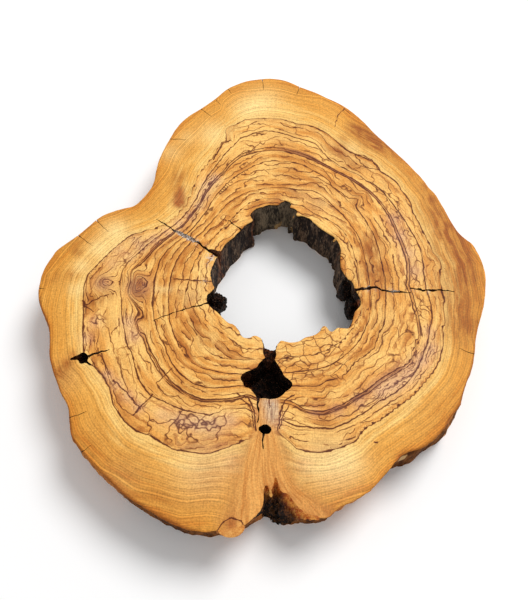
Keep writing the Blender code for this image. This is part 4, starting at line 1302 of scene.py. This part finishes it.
dabs = {                           # soft spots: middle, reach, strength
    "purple": [
        ((133, 60), 9, 0.8), ((137, 40), 9, 0.9), ((143, 20), 9, 0.8), ((148, 0), 9, 0.8),
        ((104, -124), 10, 0.9), ((118, -116), 10, 1), ((132, -106), 10, 1), ((145, -94), 9, 1),
        ((155, -82), 8, 0.9), ((155, -65), 7, 0.7), ((85, -133), 8, 0.7), ((65, -141), 7, 0.6),
        ((45, -143), 6, 0.5), ((-75, -150), 8, 0.9), ((-60, -153), 9, 1), ((-45, -154), 9, 1),
        ((-30, -150), 8, 0.8), ((-90, -145), 8, 0.6), ((-143, -108), 6, 0.8),
        ((-133, -117), 6, 0.8), ((-122, -128), 6, 0.8), ((-112, -138), 6, 0.8),
        ((-52, 110), 7, 1), ((-60, 100), 7, 1), ((-63, 88), 6, 1), ((-68, 76), 6, 0.9),
        ((-76, 64), 6, 0.9), ((-86, 54), 6, 0.9), ((-97, 44), 6, 0.8), ((-110, 36), 7, 0.8),
        ((-122, 27), 8, 0.7), ((-133, 15), 7, 0.5), ((-128, -55), 8, 0.8), ((-122, -70), 8, 0.8),
        ((-122, -18), 11, 1), ((-157, -14), 8, 1), ((-160, -55), 7, 0.7), ((-166, -72), 7, 0.7),
        ((-150, 8), 8, 0.5), ((-144, 24), 8, 0.5), ((-130, 36), 7, 0.5), ((8, -150), 9, 1),
        ((0, -142), 8, 0.6), ((-46, -196), 24, 0.5), ((-26, -186), 11, 0.6), ((34, -188), 9, 0.6),
        ((60, -198), 20, 0.4),
    ],
    "band": [
        ((22, 147), 8, 0.5), ((35, 143), 8, 0.7), ((48, 137), 9, 0.8), ((62, 129), 9, 0.9),
        ((75, 121), 9, 1), ((88, 113), 9, 1), ((100, 104), 9, 1), ((110, 93), 9, 0.8),
        ((119, 82), 8, 0.6), ((-93, -103), 9, 0.3), ((-74, -122), 9, 0.3),
        ((-54, -131), 8, 0.5), ((60, -140), 9, 0.7), ((83, -128), 10, 0.7), ((103, -114), 10, 0.6),
        ((44, -142), 8, 0.6), ((-60, 92), 8, 0.6), ((-74, 66), 8, 0.6),
    ],
    "brown": [
        ((-123, -12), 9, 0.8), ((-121, -26), 8, 0.8), ((-158, -13), 8, 0.8), ((-166, -34), 6, 0.7),
        ((-90, 116), 8, 0.5), ((-94, 102), 7, 0.4), ((-150, -25), 8, 0.5), ((-160, -32), 7, 0.5),
        ((-188, -4), 5, 0.7), ((-186, 21), 5, 0.8), ((-193, 33), 5, 0.6), ((-181, -96), 5, 0.8),
        ((-188, -104), 6, 0.6), ((-14, -112), 5, 0.7), ((-3, -98), 5, 0.7), ((98, 88), 5, 0.8),
        ((95, 78), 5, 0.7), ((55, 105), 8, 0.5), ((80, 150), 8, 0.6), ((85, 140), 8, 0.6),
        ((108, 20), 7, 0.6), ((112, -5), 8, 0.6), ((200, -8), 7, 1), ((199, 8), 8, 1),
        ((198, 22), 8, 0.9), ((193, 42), 10, 0.8), ((105, 172), 9, 0.8), ((118, 160), 9, 0.7),
        ((135, 148), 8, 0.5), ((168, 100), 5, 0.7), ((172, 85), 5, 0.6), ((177, 68), 5, 0.6),
        ((180, 55), 6, 0.6), ((185, 45), 9, 0.6), ((-90, 110), 5, 0.4), ((186, 0), 26, 0.5),
        ((192, -56), 22, 0.4), ((180, 58), 22, 0.35), ((98, 178), 7, 0.9), ((112, 166), 8, 0.9),
        ((124, 154), 8, 0.7),
        ((88, 166), 6, 0.4), ((42, -227), 5, 0.5), ((54, -230), 5, 0.5), ((104, 30), 10, 0.6),
        ((106, 0), 10, 0.6), ((110, -24), 9, 0.5), ((112, 40), 8, 0.5), ((-66, -56), 12, 0.35),
        ((-52, -72), 12, 0.35), ((150, 128), 22, 0.3), ((172, 82), 20, 0.4), ((188, 34), 22, 0.5),
        ((190, -30), 24, 0.6), ((188, -68), 20, 0.45), ((120, 158), 20, 0.35),
        ((75, 150), 12, 0.5), ((95, 128), 10, 0.6), ((110, 131), 8, 0.45), ((104, 10), 22, 0.3),
        ((10, 190), 5, 0.35), ((25, 187), 5, 0.35), ((40, 182), 5, 0.4), ((55, 176), 6, 0.45),
        ((64, 167), 6, 0.5), ((128, 104), 7, 0.4), ((-70, -120), 12, 0.25), ((52, -158), 20, 0.35),
        ((-105, -20), 18, 0.2), ((-100, 20), 16, 0.15), ((20, 115), 18, 0.22),
        ((20, 160), 16, 0.28), ((-50, -190), 14, 0.15), ((150, -140), 20, 0.14),
        ((62, -214), 16, 0.16), ((-50, -212), 18, 0.14), ((104, -50), 16, 0.25),
        ((-204, -8), 10, 0.4), ((-188, 38), 10, 0.3),
        ((-182, -108), 14, 0.4), ((-150, -170), 18, 0.3), ((-118, -198), 22, 0.4),
        ((-20, -172), 5, 0.5), ((-24, -182), 5, 0.5), ((-27, -193), 5, 0.4), ((18, -172), 5, 0.5),
        ((23, -181), 5, 0.5), ((30, -191), 5, 0.5), ((38, -202), 6, 0.35), ((-88, -222), 20, 0.3),
    ],
    "pale": [
        ((-55, 170), 16, 0.8), ((0, 215), 20, 0.8), ((-20, 205), 16, 0.7), ((-150, 45), 14, 1),
        ((-165, 25), 12, 0.9), ((-179, 5), 9, 0.8), ((-181, -20), 8, 0.7), ((-60, -190), 20, 0.5),
        ((-100, 145), 12, 0.5), ((-84, 165), 10, 0.4),
        ((50, -188), 20, 0.8), ((72, -186), 16, 0.8), ((95, 150), 8, 0.6), ((-98, -21), 4, 0.8),
        ((-105, -20), 4, 0.6), ((-91, -20), 4, 0.6),
        ((-68, -24), 14, 0.5), ((-56, 0), 12, 0.35), ((60, 78), 13, 0.42), ((40, 88), 12, 0.25),
        ((-58, 100), 12, 0.3), ((-66, 80), 10, 0.25), ((-50, -153), 13, 0.35),
        ((-27, -246), 4.5, 0.6), ((-120, -200), 18, 0.15), ((-180, -110), 16, 0.2),
    ],
    "plain": [
        ((-36, 145), 9, 1), ((-30, 156), 7, 0.8), ((-145, -34), 8, 1), ((-142, -46), 8, 0.9),
        ((45, -166), 9, 0.9), ((60, -165), 8, 0.8), ((32, -147), 8, 0.7), ((-130, -90), 6, 0.7),
        ((-98, -21), 6, 0.8), ((104, 60), 6, 0.6), ((136, 86), 5, 0.5), ((-64, -6), 6, 0.4),
    ],
    "cream": [
        ((8, -138), 8, 1), ((8, -148), 7, 0.9), ((2, -132), 6, 0.6),
    ],
    "rust": [
        ((6, -210), 5, 0.5), ((12, -206), 5, 0.4), ((-27, -237), 5, 0.8), ((22, -219), 6, 0.5),
        ((40, -229), 7, 0.4), ((54, -231), 6, 0.4), ((118, -184), 4, 1), ((-16, -112), 5, 0.6),
        ((77, 22), 3, 0.5), ((93, -30), 3, 0.8), ((96, -38), 3, 0.7), ((88, -46), 3, 0.5),
        ((-88, 80), 6, 1.6), ((-88, 90), 5, 1.5), ((-87, 98), 4, 0.8), ((14, 86), 4.2, 0.8),
        ((4, -84), 7, 0.3), ((-176, -88), 4, 0.6), ((-46, 18), 7, 0.25), ((-10, 62), 6, 0.5),
    ],
    "fleck": [
        ((-86, 43), 3, 0.9), ((-77, 38), 3, 0.9), ((-68, 33), 3, 0.8), ((-60, 27), 3, 0.5),
        ((-52, 15), 6, 0.9), ((-50, 8), 5, 0.5), ((100, -20), 3, 0.5), ((110, -20), 3, 0.4),
        ((124, -22), 3, 0.6), ((146, -20), 3, 0.6), ((160, -21), 3, 0.6), ((-60, -12), 4, 0.4),
        ((6, -134), 4, 0.4),
    ],
    "cells": [
        ((45, -85), 28, 1), ((20, -100), 14, 0.9), ((75, -100), 16, 0.6), ((108, 108), 10, 0.7),
        ((120, 104), 12, 0.8), ((132, 88), 12, 0.8), ((138, 66), 11, 0.7), ((144, 44), 10, 0.7),
        ((150, 20), 12, 0.9), ((150, -6), 12, 0.8), ((150, -40), 14, 0.9), ((132, -66), 12, 0.8),
        ((120, -92), 12, 0.6), ((-150, 20), 12, 0.5), ((-157, -55), 10, 0.8),
        ((-80, -155), 14, 0.9), ((-60, -158), 14, 0.9), ((-40, -158), 12, 0.8),
        ((-120, -64), 10, 0.6), ((-128, -85), 12, 0.6), ((-112, -112), 10, 0.5),
        ((-138, 8), 10, 0.5), ((-118, 22), 8, 0.5), ((-102, -152), 12, 0.8),
        ((-90, -160), 10, 0.7), ((-28, -150), 9, 0.6), ((-70, -146), 9, 0.6),
        ((-100, -142), 12, 0.6), ((-20, 149), 8, 1), ((-4, 153), 8, 1), ((14, 154), 8, 1),
        ((-90, 0), 10, 0.4), ((90, 60), 12, 0.5),
    ],
    "patch": [                     # on walls: grey bark, orange lip, pale end of the knot
        ((-6, 71), 6, 0.6), ((3, 76), 7, 1), ((12, 79), 7, 1), ((20, 80), 7, 1), ((27, 78), 6, 1),
        ((32, 70), 4, 0.8), ((20, -215), 3.5, 1), ((25, -220), 4, 1.2), ((31, -226), 4, 1.3),
        ((38, -230), 4.5, 1.3), ((46, -232.5), 5, 1.3), ((54, -231), 5, 1.2), ((4, -209), 4, 0.9),
        ((10.5, -203), 4, 1), ((14, -209), 3.5, 0.9), ((-27, -248), 5.5, 1),
    ],
    "chip": [
        ((15, 79), 5, 0.9), ((-10, 66), 4, 0.9), ((31, 72), 3.6, 1), ((121, -181.5), 3.6, 1.2),
        ((5.2, -210.5), 1.6, 1), ((5.8, -212.5), 1.6, 1), ((6.8, -214.5), 1.7, 1),
        ((7.4, -216.5), 1.7, 1), ((3, -213), 1.4, 0.8),
    ],
    "edge": [
        ((-212, -40), 18, 0.7), ((-203, -62), 22, 1), ((-195, -104), 26, 1), ((-168, -160), 32, 1),
        ((-122, -210), 32, 1), ((-75, -238), 26, 1), ((150, 136), 60, 0.25), ((196, -90), 24, 0.5),
        ((182, -120), 22, 0.9), ((162, -152), 20, 0.9), ((132, -178), 18, 0.7),
    ],
    "bark": [
        ((110, -190), 10, 0.8), ((122, -183), 12, 1), ((136, -178), 10, 0.9),
        ((150, -167), 10, 0.8), ((160, -158), 10, 0.8), ((172, -140), 8, 0.7),
        ((8, -234), 12, 1), ((28, -236), 12, 1), ((44, -236), 10, 0.8), ((-12, -238), 8, 0.7),
        ((-118, -216), 12, 0.5), ((-100, -226), 12, 0.9), ((-80, -236), 12, 1),
        ((-62, -243), 12, 1), ((-45, -244), 8, 0.8), ((-150, -188), 12, 0.4),
        ((-196, -80), 12, 0.3),
        ((-118, 100), 10, 0.4), ((150, 136), 12, 0.3), ((-60, 216), 14, 0.3),
    ],
}


def readAll(items, name, width=1, kind=float):
    values = np.zeros(len(items) * width, dtype=kind)
    items.foreach_get(name, values)
    return values.reshape(-1, width) if width > 1 else values


def ringRadius(points, angles):
    heartX, heartY = ruler["heart"]
    known = [atan2(y - heartY, x - heartX) for x, y in points]
    radii = [hypot(x - heartX, y - heartY) for x, y in points]
    return np.interp(angles, known, radii, period=2 * pi)


def calmRadius(points, angles):
    # the same ring without its small bends
    turns = np.linspace(-pi, pi, 360, endpoint=False)
    radii = ringRadius(points, turns)
    reach = figure["calmReach"]
    calm = np.mean([np.roll(radii, step) for step in range(-reach, reach + 1)], axis=0)
    return np.interp(angles, turns, calm, period=2 * pi)


def nearTo(middle, reach, x, y):
    return np.exp(-((x - middle[0]) / reach[0]) ** 2 - ((y - middle[1]) / reach[1]) ** 2)


def growthAt(x, y):
    # the number of the ring at each place, and how wide one ring is there in millimetres
    heartX, heartY = ruler["heart"]
    angles = np.arctan2(y - heartY, x - heartX)
    away = np.hypot(x - heartX, y - heartY)
    number, inner = figure["innermost"][0], np.full(len(x), figure["innermost"][1])
    growth, span = np.full(len(x), number), np.full(len(x), figure["innerSpan"])
    allRings = list(figure["rings"].items()) + [(figure["rimRing"], outline["rim"])]
    for ring, points in allRings:
        outer = np.maximum(ringRadius(points, angles), inner + figure["closest"])
        width = (outer - inner) / (ring - number)
        start = inner
        if ring == figure["rimRing"]:
            calm = calmRadius(figure["rings"][number], angles)
            fade = np.exp(-np.maximum(away - inner, 0) / figure["calmFade"])
            start = calm + (inner - calm) * fade
            start = np.minimum(start, outer - figure["closest"])
        growth += np.clip((away - start) / (outer - start), 0, 1) * (away > inner) * (
            ring - number)
        span = np.where(away > inner, width, span)
        number, inner = ring, outer
    swayX = x + figure["eyeSway"] * np.sin(y / 4.1 + 1.3)
    swayY = y + figure["eyeSway"] * np.sin(x / 4.7 + 0.4)
    for middle, reach, height in figure["eyes"]:
        growth = growth + height * nearTo(middle, reach, swayX, swayY)
    middle, reach, height = figure["columnBend"]
    growth = growth - height * nearTo(middle, reach, x, y) * np.clip(growth - 8.0, 0, 1)
    return growth, span


def dabbed(spots, x, y):
    total = np.zeros(len(x))
    for (placeX, placeY), reach, strength in spots:
        total += strength * np.exp(-((x - placeX) ** 2 + (y - placeY) ** 2) / reach ** 2)
    return np.minimum(total, 1.0)


def inColumn(x, y):
    # how much of the column is at each place, and how far across it, from -1 to 1
    levels, left, right = zip(*figure["columnSides"][::-1])
    left, right = np.interp(y, levels, left), np.interp(y, levels, right)
    below = np.clip((figure["columnTop"] - y) / 4, 0, 1)
    soft = np.interp(y, *figure["columnSoft"])
    inside = np.clip(np.minimum(x - left, right - x) / soft + 0.5, 0, 1) * below
    return inside, 2 * (x - left) / (right - left) - 1


def keepOnPoints(mesh, name, values):
    layer = mesh.attributes.new(name, "FLOAT", "POINT")
    layer.data.foreach_set("value", np.asarray(values, dtype=np.float32))


def paintBlock(block):
    mesh = block.data
    x, y, z = readAll(mesh.vertices, "co", 3).T
    growth, span = growthAt(x, y)
    keepOnPoints(mesh, "growth", growth)
    keepOnPoints(mesh, "span", span)
    radii = figure["meanRadii"]
    keepOnPoints(mesh, "reach", np.interp(growth, list(radii), list(radii.values())))
    inside, across = inColumn(x, y)
    keepOnPoints(mesh, "column", inside)
    keepOnPoints(mesh, "columnAcross", across)
    keepOnPoints(mesh, "below", ruler["thickness"] - z)
    for name, spots in dabs.items():
        keepOnPoints(mesh, name, dabbed(spots, x, y))


paintBlock(block)


print("unwrapping")
bakeMap = {
    "edge": 0.006,                 # of the square, round every part
    "corner": (-221.0, -252.5),    # of the drawn slice
    "faceScale": 1.5,              # of the square for one metre
    "underScale": 0.72,
    "wallScale": 1.25,
    "underStart": 0.675,
    "wallStart": 0.775,
    "wallStep": 0.074,
    "wallEdge": 0.008,
    "walls": (("outerWall", 0.215, 2), ("hollowWall", 0.078, 1)),    # radius and rows
}


def unwrapBlock(block):
    mesh = block.data
    mesh.uv_layers.new(name="OFBake")
    places = readAll(mesh.vertices, "co", 3)
    corners = readAll(mesh.loops, "vertex_index", kind=np.int32)
    counts = readAll(mesh.polygons, "loop_total", kind=np.int32)
    centres = readAll(mesh.polygons, "center", 3)
    owner = np.repeat(np.arange(len(counts)), counts)
    names = [finish.name for finish in mesh.materials]
    slot = readAll(mesh.polygons, "material_index", kind=np.int32)[owner]
    x, y, z = places[corners].T * ruler["mm"]
    lowX, lowY = (value * ruler["mm"] for value in bakeMap["corner"])
    edge = bakeMap["edge"]
    u = edge + (x - lowX) * bakeMap["faceScale"]
    v = edge + (y - lowY) * bakeMap["faceScale"]
    under = slot == names.index("underside")
    u = np.where(under, bakeMap["underStart"] + (x - lowX) * bakeMap["underScale"], u)
    v = np.where(under, edge + (y - lowY) * bakeMap["underScale"], v)
    heartX, heartY = ruler["heart"]
    middle = np.arctan2(centres[:, 1] - heartY, centres[:, 0] - heartX)[owner]
    turn = np.arctan2(y / ruler["mm"] - heartY, x / ruler["mm"] - heartX)
    turn = middle + (turn - middle + pi) % (2 * pi) - pi
    first = 0
    for name, radius, rows in bakeMap["walls"]:
        wall = slot == names.index(name)
        row = np.clip(((middle + pi) / (2 * pi) * rows).astype(int), 0, rows - 1)
        across = (turn + pi) * radius - row * 2 * pi * radius / rows
        u = np.where(wall, edge + bakeMap["wallEdge"] + across * bakeMap["wallScale"], u)
        v = np.where(wall, bakeMap["wallStart"] + (first + row) * bakeMap["wallStep"]
                     + z * bakeMap["wallScale"], v)
        first += rows
    both = np.stack([u, v], axis=1).ravel()
    mesh.uv_layers["OFBake"].data.foreach_set("uv", both)


unwrapBlock(block)


inEdit(block)
bpy.ops.transform.translate(value=(*ruler["shift"], 0))
leaveEdit(block)
block.scale = (ruler["mm"],) * 3
bpy.ops.object.transform_apply(location=True, rotation=True, scale=True)
bpy.ops.object.shade_smooth_by_angle(angle=radians(40))
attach(block, "root")
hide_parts("slice")


print("studio")
studio = {
    "floorSize": 6.0,
    "floorColour": (1.0, 1.0, 1.0),
    "keyPlace": (1.6, 1.75, 3.15),
    "keySize": 2.0,
    "keyPower": 118.0,
    "skyColour": (1.0, 1.0, 1.0),
    "skyStrength": 0.52,
}


def addFloor():
    bpy.ops.mesh.primitive_plane_add(size=studio["floorSize"])
    floor = bpy.context.object
    floor.name = "studioFloor"
    finish, shader = newFinish("studioFloor")
    shader.inputs["Base Color"].default_value = (*studio["floorColour"], 1)
    shader.inputs["Roughness"].default_value = 0.9
    shader.inputs["Specular IOR Level"].default_value = 0.0
    floor.data.materials.append(finish)


def addLights():
    place = Vector(studio["keyPlace"])
    turn = (-place).to_track_quat("-Z", "Y").to_euler()
    bpy.ops.object.light_add(type="AREA", location=place, rotation=turn)
    key = bpy.context.object
    key.name = "keyLight"
    key.data.shape = "DISK"
    key.data.size = studio["keySize"]
    key.data.energy = studio["keyPower"]
    world = bpy.data.worlds.new("studioSky")
    world.use_nodes = True
    sky = world.node_tree.nodes["Background"]
    sky.inputs["Color"].default_value = (*studio["skyColour"], 1)
    sky.inputs["Strength"].default_value = studio["skyStrength"]
    bpy.context.scene.world = world
    bpy.context.scene.view_settings.view_transform = "Standard"


addFloor()
addLights()
